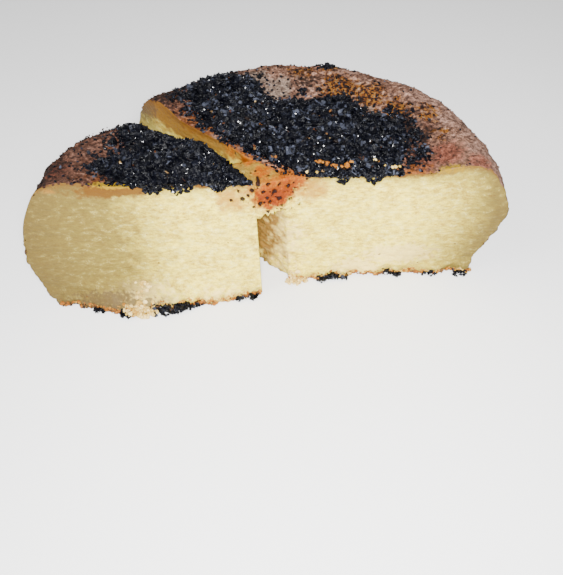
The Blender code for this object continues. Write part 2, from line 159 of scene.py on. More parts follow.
@dataclass(frozen=True)
class Profile:
    """A smooth curve through points given as position and height."""

    points: tuple[tuple[float, float], ...]

    def slope(self, k: int) -> float:
        """Slope of the curve at point k."""
        before = self.points[max(k - 1, 0)]
        after = self.points[min(k + 1, len(self.points) - 1)]
        return (after[1] - before[1]) / (after[0] - before[0])

    def at(self, position: float) -> float:
        """Height of the curve at a position.

        Args:
            position: Where along the curve; beyond its ends the curve is level.

        Returns:
            The height there.
        """
        last = len(self.points) - 1
        if position <= self.points[0][0]:
            return self.points[0][1]
        if position >= self.points[last][0]:
            return self.points[last][1]
        k = max(i for i in range(last) if self.points[i][0] <= position)
        (x0, y0), (x1, y1) = self.points[k], self.points[k + 1]
        width = x1 - x0
        t = (position - x0) / width
        rise = (2 * t**3 - 3 * t**2 + 1) * y0 + (3 * t**2 - 2 * t**3) * y1
        return rise + width * ((t**3 - 2 * t**2 + t) * self.slope(k) + (t**3 - t**2) * self.slope(k + 1))


TOP = Profile(TOP_POINTS)


class Outline:
    """A closed smooth outline on the top of a slice."""

    def __init__(self, corners: tuple[tuple[float, float], ...], steps: int = 3) -> None:
        """Round the corners off.

        Args:
            corners: Corners of the outline, in order.
            steps: Points that the smooth curve has for each corner.
        """
        points = []
        count = len(corners)
        for k in range(count):
            p0, p1, p2, p3 = (Vector(corners[(k + j) % count]) for j in (-1, 0, 1, 2))
            for step in range(steps):
                t = step / steps
                bend = (2 * p0 - 5 * p1 + 4 * p2 - p3) * t**2 + (3 * p1 - p0 - 3 * p2 + p3) * t**3
                points.append(0.5 * (2 * p1 + (p2 - p0) * t + bend))
        self.start = np.array([tuple(point) for point in points])
        self.end = np.roll(self.start, 1, axis=0)
        self.along = self.end - self.start
        self.square = np.maximum((self.along**2).sum(axis=1), 1e-9)
        self.low, self.high = self.start.min(axis=0), self.start.max(axis=0)

    def outside(self, x: float, y: float) -> float:
        """Distance from a point to the outline.

        Args:
            x: First coordinate of the point.
            y: Second coordinate of the point.

        Returns:
            The distance, negative inside the outline.
        """
        to_point = np.array((x, y)) - self.start
        share = np.clip((to_point * self.along).sum(axis=1) / self.square, 0.0, 1.0)
        away = to_point - self.along * share[:, None]
        distance = math.sqrt((away**2).sum(axis=1).min())
        crosses = (self.start[:, 1] > y) != (self.end[:, 1] > y)
        run = self.along[crosses]
        cut = run[:, 0] * (y - self.start[crosses, 1]) / run[:, 1] + self.start[crosses, 0]
        return -distance if np.count_nonzero(x < cut) % 2 else distance


@dataclass(frozen=True)
class Patch:
    """A round patch with a soft edge, in which one tone comes out."""

    tone: Tone
    centre: tuple[float, float, float]
    radius: float
    strength: float = 1.0
    stretch: tuple[float, float, float] = (1.0, 1.0, 1.0)

    def cover(self, places: np.ndarray) -> np.ndarray:
        """How strongly the patch covers each place, from 0 to its strength.

        Args:
            places: One row of three coordinates for each place.

        Returns:
            One value for each place.
        """
        away = (places - np.array(self.centre)) / (np.array(self.stretch) * self.radius)
        share = np.clip(1.0 - np.sqrt((away**2).sum(axis=1)), 0.0, 1.0)
        return self.strength * share * share * (3.0 - 2.0 * share)


def patches(rows: dict[Tone, tuple]) -> tuple[Patch, ...]:
    """Round patches of some tones.

    Args:
        rows: For each tone, rows of x, y, z, radius, strength and, where it isn't round, its stretch.

    Returns:
        The patches.
    """
    return tuple(Patch(tone, row[:3], *row[3:]) for tone, listed in rows.items() for row in listed)


@dataclass(frozen=True)
class SliceForm:
    """The form of one slice, a block bent round its tip, from the same values as its solid."""

    tip: tuple[float, float]
    cut_angle: float
    front_angle: float
    rim: Profile
    roundness: Profile
    lean: float
    foot: Profile
    seed: float
    marc: Outline
    rise: tuple[float, float] = (0.0, 0.0)
    sag: float = 0.0

    def inward(self) -> float:
        """1 where the block turns from cut to front face against the clock, -1 where it turns with it."""
        return 1.0 if self.front_angle > self.cut_angle else -1.0

    def share_at(self, x: float, y: float) -> float:
        """Share of the way from cut to front face of a point seen from above."""
        angle = math.degrees(math.atan2(y - self.tip[1], x - self.tip[0]))
        turned = (angle - self.cut_angle + 180.0) % 360.0 - 180.0
        return clamp(turned / (self.front_angle - self.cut_angle))

    def widest(self, share: float) -> float:
        """Widest radius at a share of the way from cut to front face."""
        return WHEEL_RADIUS * self.roundness.at(share)

    def shoulder(self, share: float) -> float:
        """Radius of the top at a share of the way from cut to front face."""
        return self.widest(share) * self.rim.points[-1][1]

    def plain_top(self, u: float, share: float) -> float:
        """Height of the plain top at a share of its radius and of the way from cut to front face."""
        sunk = self.sag * (1.0 - share) * clamp((u - SAG_FROM) / SAG_RUN)
        return TOP.at(u) + mix(*self.rise, share) * min(1.0, u / RISE_RUN) - sunk

    def spread(self, x: float, y: float) -> tuple[float, float]:
        """Shares of the top's radius and of the way from cut to front face, for a point seen from above."""
        back = y - self.lean * TOP_POINTS[0][1] / LEAN_HEIGHT
        share = self.share_at(x, back)
        return math.hypot(x - self.tip[0], back - self.tip[1]) / self.shoulder(share), share

    def beyond(self, x: float, y: float) -> float:
        """How far a point of the top lies beyond the nearer cut face, below 0 inside the slice."""
        away = Vector((x - self.tip[0], y - self.lean - self.tip[1], 0.0))
        return max(away.dot(self.normal(True)), away.dot(self.normal(False)))

    def holds(self, x: float, y: float) -> bool:
        """Whether a loose thing can lie on the top at a point, clear of the shoulder and the cut faces."""
        return self.spread(x, y)[0] <= SHOULDER_CLEAR and self.beyond(x, y) <= EDGE_CLEAR

    def top_height(self, x: float, y: float) -> float:
        """Height of the plain top over a point."""
        return self.plain_top(*self.spread(x, y))

    def bare(self, x: float, y: float) -> float:
        """How bare of marc the top is at a point, from 0 to 1."""
        return clamp(self.marc.outside(x, y) / MARC_MARGIN - 1.0)

    def normal(self, front: bool) -> Vector:
        """The way that a cut face looks."""
        angle = math.radians(self.front_angle if front else self.cut_angle)
        turned = angle + math.radians(90.0) * (self.inward() if front else -self.inward())
        return Vector((math.cos(turned), math.sin(turned), 0.0))

    def plain_push(self, reach: float, z: float, front: bool) -> float:
        """How far the solid's cut face stands out from its plane.

        Args:
            reach: Distance from the tip.
            z: Height.
            front: Whether it is the front face, and not the one inside the wheel.

        Returns:
            The push, in millimetres.
        """
        seed = self.seed + front
        foot_fade = max(0.0, 1.0 - z / FOOT_HEIGHT)
        push = CUT_WAVE * swell(reach, 0, z, CUT_WAVE_SIZE, seed)
        push += CUT_GRAIN * swell(reach * 0.5, 0, z, CUT_GRAIN_SIZE, seed)
        push += FOOT_CRUMBLE * foot_fade * swell(reach, 0, z, FOOT_CRUMBLE_SIZE, seed)
        push *= min(1.0, reach / TIP_FADE)
        if front:
            push += foot_fade**2 * self.foot.at(reach)
        return push

    def fine_push(self, reach: float, z: float, front: bool, flaky: float) -> float:
        """Streaks, tears and flakes on a cut face, finer than the solid has them.

        Args:
            reach: Distance from the tip.
            z: Height.
            front: Whether it is the front face.
            flaky: How flaky the paste is there, from 0 to 1.

        Returns:
            The push, in millimetres.
        """
        seed = self.seed + 20 + front
        push = STREAK * swell(reach * STREAK_STRETCH, 0, z, STREAK_SIZE, seed)
        push += TEAR * swell(reach, 0, z * 1.8, TEAR_SIZE, seed + 1)
        push += FLAKE * flaky * (ridge(reach * 0.5 + z * 0.3, 0, z, FLAKE_SIZE, seed + 2) - 0.55)
        ragged = max(0.0, 1.0 - z / RAGGED_HEIGHT)
        push += RAGGED * ragged * swell(reach, 0, z * 1.4, RAGGED_SIZE, seed + 3)
        push += 0.6 * RAGGED * ragged * swell(reach, 0, z, 2.4 * RAGGED_SIZE, seed + 4)
        return push * min(1.0, reach / 3.0)

    def on_plane(self, angle: float, reach: float, z: float, push: float, front: bool) -> Vector:
        """Place of a point of the slice.

        Args:
            angle: Direction from the tip, in degrees.
            reach: Distance from the tip.
            z: Height.
            push: How far the point stands out from the cut face.
            front: Whether that is the front face.

        Returns:
            The place, with the slice's lean.
        """
        turned = math.radians(angle)
        flat = Vector((self.tip[0], self.tip[1], 0.0)) + self.normal(front) * push
        flat += Vector((math.cos(turned), math.sin(turned), 0.0)) * reach
        return Vector((flat.x, flat.y + self.lean * z / LEAN_HEIGHT, z))

    def on_front(self, reach: float, z: float, proud: float) -> Vector:
        """Place of a point that stands out from the solid's front face.

        Args:
            reach: Distance from the tip.
            z: Height.
            proud: How far the point stands out.

        Returns:
            The place, with the slice's lean.
        """
        push = self.plain_push(reach, z, True) + proud
        return self.on_plane(self.front_angle, reach, z, push, True)

    def relief(self, place: Vector) -> float:
        """How far the rind stands out at a place, in lumps, curls and folds."""
        height = RIND_LUMP * swell(*place, RIND_LUMP_SIZE, self.seed)
        height += RIND_GRAIN * swell(*place, RIND_GRAIN_SIZE, self.seed)
        height += CURL * swell(*place, CURL_SIZE, self.seed + 5)
        height += FUZZ * swell(*place, FUZZ_SIZE, self.seed + 6)
        return height - FOLD * ridge(place.x, place.y, place.z * 1.6, FOLD_SIZE, self.seed + 7) ** 6

    def skin(self, share: float, z: float) -> tuple[Vector, Vector]:
        """A place on the rim and the way that the rind looks there.

        Args:
            share: Share of the way from cut to front face.
            z: Height.

        Returns:
            The place and the direction.
        """
        angle = mix(self.cut_angle, self.front_angle, share)
        reach = self.widest(share) * self.rim.at(z)
        place = self.on_plane(angle, reach, z, 0.0, False)
        steep = self.widest(share) * (self.rim.at(z + 1.0) - self.rim.at(z - 1.0)) / 2.0
        turned = math.radians(angle)
        facing = Vector((math.cos(turned), math.sin(turned), -steep)).normalized()
        return place + facing * self.relief(place), facing

    def lid(self, x: float, y: float) -> Vector:
        """A place on the top, over a point."""
        place = Vector((x, y, self.top_height(x, y)))
        place.z += self.bare(x, y) * self.relief(place)
        return place


MAIN_FORM = SliceForm(
    tip=(3.8, -0.1),
    cut_angle=137.6,
    front_angle=-1.4,
    rim=Profile((
        (0, 0.915), (9, 0.912), (20, 0.945), (31, 0.988), (42, 1.0), (50, 0.965), (57, 0.93), (62, 0.895),
    )),
    roundness=Profile(((0, 1.02), (0.12, 0.99), (0.3, 0.99), (0.6, 1.015), (0.85, 1.03), (1, 1.0))),
    lean=0.0,
    foot=Profile(((0, 3.6), (12, 2.6), (28, 1.2), (45, 0), (100, 0))),
    seed=3.0,
    marc=Outline((
        (14, -0.8), (28, -1.6), (42, -1.8), (51, 1), (55, 11), (58, 24), (52, 36), (43, 40), (34, 54),
        (17, 52), (-3, 56), (-8, 68), (-22, 73), (-34, 69), (-41, 59), (-34, 46), (-26, 33), (-14, 21),
        (-5, 13), (4, 6),
    )),
)
WEDGE_FORM = SliceForm(
    tip=(-9.6, -10.5),
    cut_angle=139.5,
    front_angle=180.3,
    rim=Profile((
        (0, 0.945), (8, 0.965), (18, 0.985), (28, 1.0), (38, 0.985), (48, 0.952), (56, 0.91), (62, 0.872),
    )),
    roundness=Profile(((0, 0.925), (0.2, 1.0), (0.5, 1.05), (1, 1.075))),
    lean=6.5,
    foot=Profile(((0, 0), (12, 2.4), (30, 6), (48, 8.6), (64, 9.4), (78, 6.6), (92, 2), (108, 0))),
    seed=8.0,
    marc=Outline((
        (-13, -4.6), (-30, -5.2), (-45, -5.2), (-58, -4.4), (-66, 0), (-75, 7), (-76, 13), (-69, 15),
        (-66, 24), (-70, 33), (-71, 41), (-63, 40), (-53, 32.5), (-43, 24.5), (-32, 16), (-21, 7.5),
    )),
    rise=(-0.2, 2.2),
    sag=5.0,
)


def unit_block(bm: bmesh.types.BMesh, steps: tuple[int, int, int]) -> None:
    """Fill a mesh with a block from 0 to 1 on each axis, open below, cut into even steps.

    Args:
        bm: The mesh to fill.
        steps: How many steps the block has on each axis.
    """
    bmesh.ops.create_cube(bm, size=1.0, matrix=Matrix.Translation((0.5, 0.5, 0.5)))
    under = [face for face in bm.faces if all(vert.co.z < 0.5 for vert in face.verts)]
    bmesh.ops.delete(bm, geom=under, context="FACES_ONLY")
    for axis, count in enumerate(steps):
        along = [edge for edge in bm.edges if abs(edge.verts[0].co[axis] - edge.verts[1].co[axis]) > 0.5]
        bmesh.ops.subdivide_edges(bm, edges=along, cuts=count - 1, use_grid_fill=True)


def float_layers(bm: bmesh.types.BMesh, names: tuple[str, ...]) -> list:
    """Add one vertex layer for each name; the layers are looked up when all of them are there."""
    for name in names:
        bm.verts.layers.float.new(name)
    return [bm.verts.layers.float[name] for name in names]


def finish_object(
    name: str, bm: bmesh.types.BMesh, materials: list[bpy.types.Material], smooth: bool = True,
) -> bpy.types.Object:
    """Turn a mesh to metres, put it in the frame and make an object of it.

    Args:
        name: The object's name.
        bm: The mesh, in millimetres round the middle of the wheel; it is freed.
        materials: The object's materials, in the order of its faces' indices.
        smooth: Whether the faces are shaded smooth.

    Returns:
        The new object, linked to the scene and riding on the part's body.
    """
    bmesh.ops.transform(bm, matrix=Matrix.Scale(MM, 4) @ Matrix.Translation(TO_FRAME), verts=bm.verts[:])
    mesh = bpy.data.meshes.new(name)
    bm.to_mesh(mesh)
    bm.free()
    for material in materials:
        mesh.materials.append(material)
    if smooth:
        mesh.shade_smooth()
    else:
        mesh.shade_flat()
    item = bpy.data.objects.new(name, mesh)
    bpy.context.scene.collection.objects.link(item)
    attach(item, BODY)
    LOG.info("%s: %d faces", name, len(mesh.polygons))
    return item


def paint(item: bpy.types.Object, patches: tuple[Patch, ...]) -> None:
    """Write one vertex attribute for each tone, with the strongest patch at each place.

    Args:
        item: A finished object.
        patches: The patches on it, placed round the middle of the wheel.
    """
    mesh = item.data
    places = np.empty(len(mesh.vertices) * 3, np.float32)
    mesh.vertices.foreach_get("co", places)
    places = places.reshape(-1, 3) / MM - np.array(TO_FRAME)
    for tone in Tone:
        cover = np.zeros(len(places))
        for patch in patches:
            if patch.tone is tone:
                cover = np.maximum(cover, patch.cover(places))
        layer = mesh.attributes.new(tone.value, "FLOAT", "POINT")
        layer.data.foreach_set("value", cover.astype(np.float32))


def opaque(colour: object) -> object:
    """A colour with its fourth value, or the socket that it is."""
    return (*colour, 1.0) if isinstance(colour, tuple) else colour


class Wiring:
    """Adds the nodes of one node tree and links them."""

    def __init__(self, tree: bpy.types.NodeTree) -> None:
        """Keep the tree that is wired."""
        self.tree = tree

    def add(self, kind: str, inputs: dict | None = None, **settings: object) -> bpy.types.Node:
        """Add a node.

        Args:
            kind: The node's type.
            inputs: A value, or a socket to link, for each input by name or number.
            settings: Values of the node's own properties.

        Returns:
            The new node.
        """
        node = self.tree.nodes.new(kind)
        for name, value in settings.items():
            setattr(node, name, value)
        for name, value in (inputs or {}).items():
            if isinstance(value, bpy.types.NodeSocket):
                self.tree.links.new(value, node.inputs[name])
            else:
                node.inputs[name].default_value = value
        return node

    def sum_up(self, operation: str, first: object, second: object) -> bpy.types.NodeSocket:
        """The result of a Math node on two values or sockets."""
        return self.add("ShaderNodeMath", {0: first, 1: second}, operation=operation).outputs[0]

    def plus(self, first: object, second: object) -> bpy.types.NodeSocket:
        """The sum of two values or sockets."""
        return self.sum_up("ADD", first, second)

    def minus(self, first: object, second: object) -> bpy.types.NodeSocket:
        """What is left of the first when the second is taken away."""
        return self.sum_up("SUBTRACT", first, second)

    def times(self, first: object, second: object) -> bpy.types.NodeSocket:
        """The product of two values or sockets."""
        return self.sum_up("MULTIPLY", first, second)

    def span(self, value: object, low: float, high: float) -> bpy.types.NodeSocket:
        """A value that goes from 0 to 1 as another goes from low to high."""
        inputs = {"Value": value, "From Min": low, "From Max": high}
        return self.add("ShaderNodeMapRange", inputs).outputs[0]

    def blend(self, share: object, first: object, second: object, way: str = "MIX") -> bpy.types.NodeSocket:
        """A colour between two colours, at a share that is a value or a socket."""
        inputs = {0: share, 6: opaque(first), 7: opaque(second)}
        return self.add("ShaderNodeMix", inputs, data_type="RGBA", blend_type=way).outputs[2]

    def ramp(self, value: object, stops: tuple) -> bpy.types.NodeSocket:
        """A colour from a ramp of stops, each a position and a colour."""
        node = self.add("ShaderNodeValToRGB", {0: value})
        elements = node.color_ramp.elements
        while len(elements) < len(stops):
            elements.new(0.5)
        for element, (position, colour) in zip(elements, stops):
            element.position = position
            element.color = opaque(colour)
        return node.outputs[0]

    def attribute(self, name: str) -> bpy.types.NodeSocket:
        """A vertex attribute of the piece, as a value."""
        return self.add("ShaderNodeAttribute", attribute_name=name).outputs["Fac"]

    def effect(self, group: bpy.types.NodeTree, **inputs: object) -> bpy.types.NodeSocket:
        """The output of a shared effect with its inputs given by name."""
        return self.add("ShaderNodeGroup", inputs, node_tree=group).outputs[0]


class Effects:
    """Node groups that more than one material uses."""

    def __init__(self) -> None:
        """Build every group once."""
        self.mottle = self.build_mottle()
        self.ragged = self.build_ragged()
        self.specks = self.build_specks()

    @staticmethod
    def group(name: str, output: str, inputs: dict[str, float | None]) -> tuple[Wiring, dict, object]:
        """Start a group.

        Args:
            name: The group's name.
            output: Name of the one value that it puts out.
            inputs: The usual value of each input by name, or None for a vector.

        Returns:
            The wiring, the values that come in by name, and the socket that the result goes to.
        """
        tree = bpy.data.node_groups.new(name, "ShaderNodeTree")
        for label, usual in inputs.items():
            kind = "NodeSocketVector" if usual is None else "NodeSocketFloat"
            socket = tree.interface.new_socket(name=label, in_out="INPUT", socket_type=kind)
            if usual is not None:
                socket.default_value = usual
        tree.interface.new_socket(name=output, in_out="OUTPUT", socket_type="NodeSocketFloat")
        wiring = Wiring(tree)
        start = wiring.add("NodeGroupInput")
        given = {label: start.outputs[label] for label in inputs}
        return wiring, given, wiring.add("NodeGroupOutput").inputs[output]

    def build_mottle(self) -> bpy.types.NodeTree:
        """Clouds from 0 to 1 with features of a size in millimetres."""
        wiring, given, result = self.group("mottle", "Clouds", {"Place": None, "Size": 4.0})
        scale = wiring.sum_up("DIVIDE", 1.0, given["Size"])
        cloud = wiring.add("ShaderNodeTexNoise", {"Vector": given["Place"], "Scale": scale, "Detail": 3.0})
        wiring.tree.links.new(wiring.span(cloud.outputs[0], 0.3, 0.7), result)
        return wiring.tree

    def build_ragged(self) -> bpy.types.NodeTree:
        """A soft mask made ragged at its edge by clouds of a size."""
        inputs = {"Mask": 0.0, "Place": None, "Size": 2.0, "Spread": 0.6}
        wiring, given, result = self.group("ragged", "Mask", inputs)
        clouds = wiring.effect(self.mottle, Place=given["Place"], Size=given["Size"])
        shift = wiring.times(wiring.minus(clouds, 0.5), given["Spread"])
        rough = wiring.span(wiring.plus(given["Mask"], shift), 0.25, 0.75)
        wiring.tree.links.new(wiring.times(rough, wiring.span(given["Mask"], 0.0, 0.12)), result)
        return wiring.tree

    def build_specks(self) -> bpy.types.NodeTree:
        """Small round specks a spacing apart, with a share of them left out."""
        inputs = {"Place": None, "Spacing": 3.0, "Radius": 0.25, "Kept": 0.5}
        wiring, given, result = self.group("specks", "Mask", inputs)
        scale = wiring.sum_up("DIVIDE", 1.0, given["Spacing"])
        cells = wiring.add("ShaderNodeTexVoronoi", {"Vector": given["Place"], "Scale": scale})
        clouds = wiring.effect(self.mottle, Place=given["Place"], Size=0.5)
        edge = wiring.times(given["Radius"], wiring.plus(clouds, 0.5))
        inside = wiring.sum_up("LESS_THAN", cells.outputs["Distance"], edge)
        draw = wiring.add("ShaderNodeSeparateColor", {"Color": cells.outputs["Color"]}).outputs[0]
        kept = wiring.sum_up("LESS_THAN", draw, given["Kept"])
        wiring.tree.links.new(wiring.times(inside, kept), result)
        return wiring.tree


@dataclass(frozen=True)
class Layer:
    """A tint that comes out in the patches of one tone, ragged at their edge by clouds of a size."""

    tone: Tone
    size: float
    spread: float
    share: float
    tint: tuple[float, float, float]


class Dressing(Wiring):
    """The wiring of one material, whose colour is laid on tint by tint."""

    def __init__(self, name: str, effects: Effects) -> None:
        """Start the material.

        Args:
            name: The material's name.
            effects: The shared node groups.
        """
        self.material = bpy.data.materials.new(name)
        self.material.use_nodes = True
        super().__init__(self.material.node_tree)
        self.shader = self.tree.nodes["Principled BSDF"]
        self.effects = effects
        point = self.add("ShaderNodeTexCoord").outputs["Object"]
        self.place = self.squeezed(point, (1 / MM, 1 / MM, 1 / MM))
        self.colour: object = None

    def squeezed(self, point: object, scale: tuple, tilt: float = 0.0) -> bpy.types.NodeSocket:
        """A point with its pattern squeezed by a scale on each axis, and tilted about the second."""
        inputs = {"Vector": point, "Rotation": (0.0, tilt, 0.0), "Scale": scale}
        return self.add("ShaderNodeMapping", inputs).outputs[0]

    def clouds(self, size: float, scale: tuple | None = None, tilt: float = 0.0) -> bpy.types.NodeSocket:
        """Clouds with features of a size in millimetres, squeezed and tilted where that is given."""
        place = self.squeezed(self.place, scale, tilt) if scale else self.place
        return self.effect(self.effects.mottle, Place=place, Size=size)

    def specks(self, spacing: float, radius: float, kept: float) -> bpy.types.NodeSocket:
        """Specks a spacing apart, with a radius as a share of it, and a share of them kept."""
        return self.effect(self.effects.specks, Place=self.place, Spacing=spacing, Radius=radius, Kept=kept)

    def mask(self, tone: Tone, size: float, spread: float) -> bpy.types.NodeSocket:
        """Where the patches of a tone are, ragged at their edge by clouds of a size."""
        found = self.attribute(tone.value)
        return self.effect(self.effects.ragged, Mask=found, Place=self.place, Size=size, Spread=spread)

    def near(
        self, name: str, clouds: object, wobble: float, reach: float, full: float,
    ) -> bpy.types.NodeSocket:
        """How near a place is to where an attribute is 0.

        Args:
            name: The attribute, a distance in millimetres.
            clouds: Clouds that make the border wobble.
            wobble: How far they move it, in millimetres.
            reach: The distance from which the result is 0.
            full: The distance up to which it is 1.

        Returns:
            The value.
        """
        return self.span(self.plus(self.attribute(name), self.times(clouds, wobble)), reach, full)

    def lay(self, share: object, tint: object, most: float = 1.0, way: str = "MIX") -> None:
        """Lay a tint over the colour, as far as a mask says, and no more than a share."""
        self.colour = self.blend(self.times(share, most), self.colour, tint, way)

    def lay_all(self, layers: tuple[Layer, ...]) -> None:
        """Lay the tints of some tones over the colour, in order."""
        for layer in layers:
            self.lay(self.mask(layer.tone, layer.size, layer.spread), layer.tint, layer.share)

    def give(self, name: str, value: object) -> None:
        """Link a socket to one input of the shader, or set its value."""
        if isinstance(value, bpy.types.NodeSocket):
            self.tree.links.new(value, self.shader.inputs[name])
        else:
            self.shader.inputs[name].default_value = value

    def finish(
        self, roughness: object, gloss: float, height: object, strength: float, depth: float,
    ) -> None:
        """Give the shader the colour, the roughness, the gloss and the relief.

        Args:
            roughness: The roughness.
            gloss: The specular level.
            height: Height of the relief, from 0 to about 1.
            strength: Strength of the relief.
            depth: Depth of the relief, in metres.
        """
        self.give("Base Color", self.colour)
        self.give("Roughness", roughness)
        self.give("Specular IOR Level", gloss)
        bump = self.add("ShaderNodeBump", {"Strength": strength, "Distance": depth, "Height": height})
        self.give("Normal", bump.outputs[0])


@dataclass(frozen=True)
class PasteFinish:
    """The pale crumbly paste of the cut faces."""

    light: tuple = (0.93, 0.76, 0.100)
    deep: tuple = (0.44, 0.30, 0.034)
    white: tuple = (0.95, 0.84, 0.26)
    flake: tuple = (0.85, 0.64, 0.22)
    # Tan of the paste near the rind, also laid on as painted shade towards the ends of the slices
    tan_and_shade: tuple = (0.105, 0.070, 0.018)
    orange: tuple = (0.115, 0.046, 0.005)
    foot: tuple = (0.075, 0.046, 0.020)
    speck: tuple = (0.10, 0.042, 0.008)
    # Near black of the pits: painted shade inside them
    pit: tuple = (0.010, 0.0025, 0.002)
    fresh: tuple = (0.33, 0.105, 0.004)
    stain: tuple = (
        (0.10, (0.38, 0.165, 0.016)), (0.38, (0.29, 0.076, 0.003)), (0.68, (0.20, 0.036, 0.0008)),
        (1.0, (0.15, 0.022, 0.0006)),
    )
    bands: tuple[Layer, ...] = (
        Layer(Tone.BAND, 3.0, 0.7, 0.92, (0.115, 0.046, 0.005)),
        Layer(Tone.PINK, 4.0, 0.5, 0.75, (0.34, 0.145, 0.014)),
        Layer(Tone.GOLD, 4.0, 0.5, 0.9, (0.155, 0.064, 0.009)),
        Layer(Tone.FOOT, 1.6, 1.3, 0.7, (0.075, 0.046, 0.020)),
    )
    yellow: Layer = Layer(Tone.YELLOW, 1.5, 0.8, 0.9, (0.26, 0.155, 0.005))
    roughness: float = 0.54
    gloss: float = 0.12
    scatter: float = 0.12
    scatter_radius: tuple = (1.0, 0.7, 0.4)
    scatter_depth: float = 0.002

    def material(self, effects: Effects) -> bpy.types.Material:
        """Build the material.

        Args:
            effects: The shared node groups.

        Returns:
            The material.
        """
        w = Dressing("paste", effects)
        clouds, fine = w.clouds(9.0), w.clouds(0.7)
        streaks = w.clouds(1.3, (0.5, 0.5, 1.0), 0.04)
        depth = w.plus(w.times(clouds, 0.4), w.times(streaks, 0.65))
        depth = w.plus(depth, w.times(w.minus(fine, 0.45), 0.6))
        w.colour = w.blend(w.span(depth, 0.1, 1.0), self.light, self.deep)
        bright = w.clouds(2.2, (0.6, 0.6, 1.0), 0.1)
        flecks = w.times(w.span(bright, 0.45, 0.85), w.span(fine, 0.25, 0.75))
        w.lay(flecks, self.white, 0.8)
        w.lay(w.mask(Tone.FLAKY, 2.2, 1.0), self.flake, 0.7)
        edge = w.near("edge", clouds, 8.0, 45.0, 8.0)
        w.lay(w.times(edge, w.minus(0.88, w.times(flecks, 0.2))), self.tan_and_shade)
        # Painted shade: tan laid over the paste in the shade patches, darker towards the ends of the slices
        painted_shade = w.mask(Tone.PAINTED_SHADE, 5.0, 0.16)
        w.lay(w.times(painted_shade, w.minus(0.85, w.times(flecks, 0.18))), self.tan_and_shade)
        w.lay(w.near("under", clouds, 4.0, 11.0, 2.0), self.tan_and_shade, 0.5)
        w.lay_all(self.bands)
        w.lay(w.near("under", fine, 3.0, 5.0, 1.6), self.orange, 0.8)
        w.lay_all((self.yellow,))
        stained = w.attribute(Tone.STAIN.value)
        w.lay(w.times(w.mask(Tone.STAIN, 2.4, 0.55), w.span(stained, 0.05, 0.75)), self.stained(w, stained))
        # Pits sunk in the relief and painted near black: painted shade inside them
        pits = w.times(w.specks(2.6, 0.24, 0.55), w.span(stained, 0.3, 0.5))
        pits = w.sum_up("MAXIMUM", pits, w.mask(Tone.PIT, 0.8, 0.6))
        w.lay(pits, self.pit, 0.97)
        w.lay(w.specks(9.0, 0.07, 0.4), self.speck, 0.8)
        # Cracks painted as dark lines: painted shade inside them
        w.lay(w.span(w.attribute(Tone.CRACK.value), 0.1, 0.5), self.speck, 0.8)
        w.lay(w.near("height", streaks, 4.0, 6.5, 2.0), self.foot, 0.65)
        height = w.plus(w.times(w.clouds(0.9, (0.5, 0.5, 1.0)), 0.5), w.times(streaks, 0.4))
        height = w.minus(height, w.times(pits, 1.6))
        w.finish(w.plus(w.times(fine, 0.16), self.roughness), self.gloss, height, 0.8, 0.0004)
        w.give("Subsurface Weight", self.scatter)
        w.give("Subsurface Radius", self.scatter_radius)
        w.give("Subsurface Scale", self.scatter_depth)
        return w.material

    def stained(self, w: Dressing, stained: bpy.types.NodeSocket) -> bpy.types.NodeSocket:
        """The colour of the stained paste, from pink at its edge to red orange in the middle.

        Args:
            w: The wiring of the material.
            stained: How stained a place is.

        Returns:
            The colour.
        """
        flecks = w.clouds(1.3)
        colour = w.ramp(w.plus(stained, w.times(w.minus(flecks, 0.6), 0.9)), self.stain)
        upper = w.times(w.span(w.attribute("height"), 58.0, 64.0), w.span(flecks, 0.35, 0.8))
        return w.blend(w.times(upper, 0.75), colour, self.fresh)


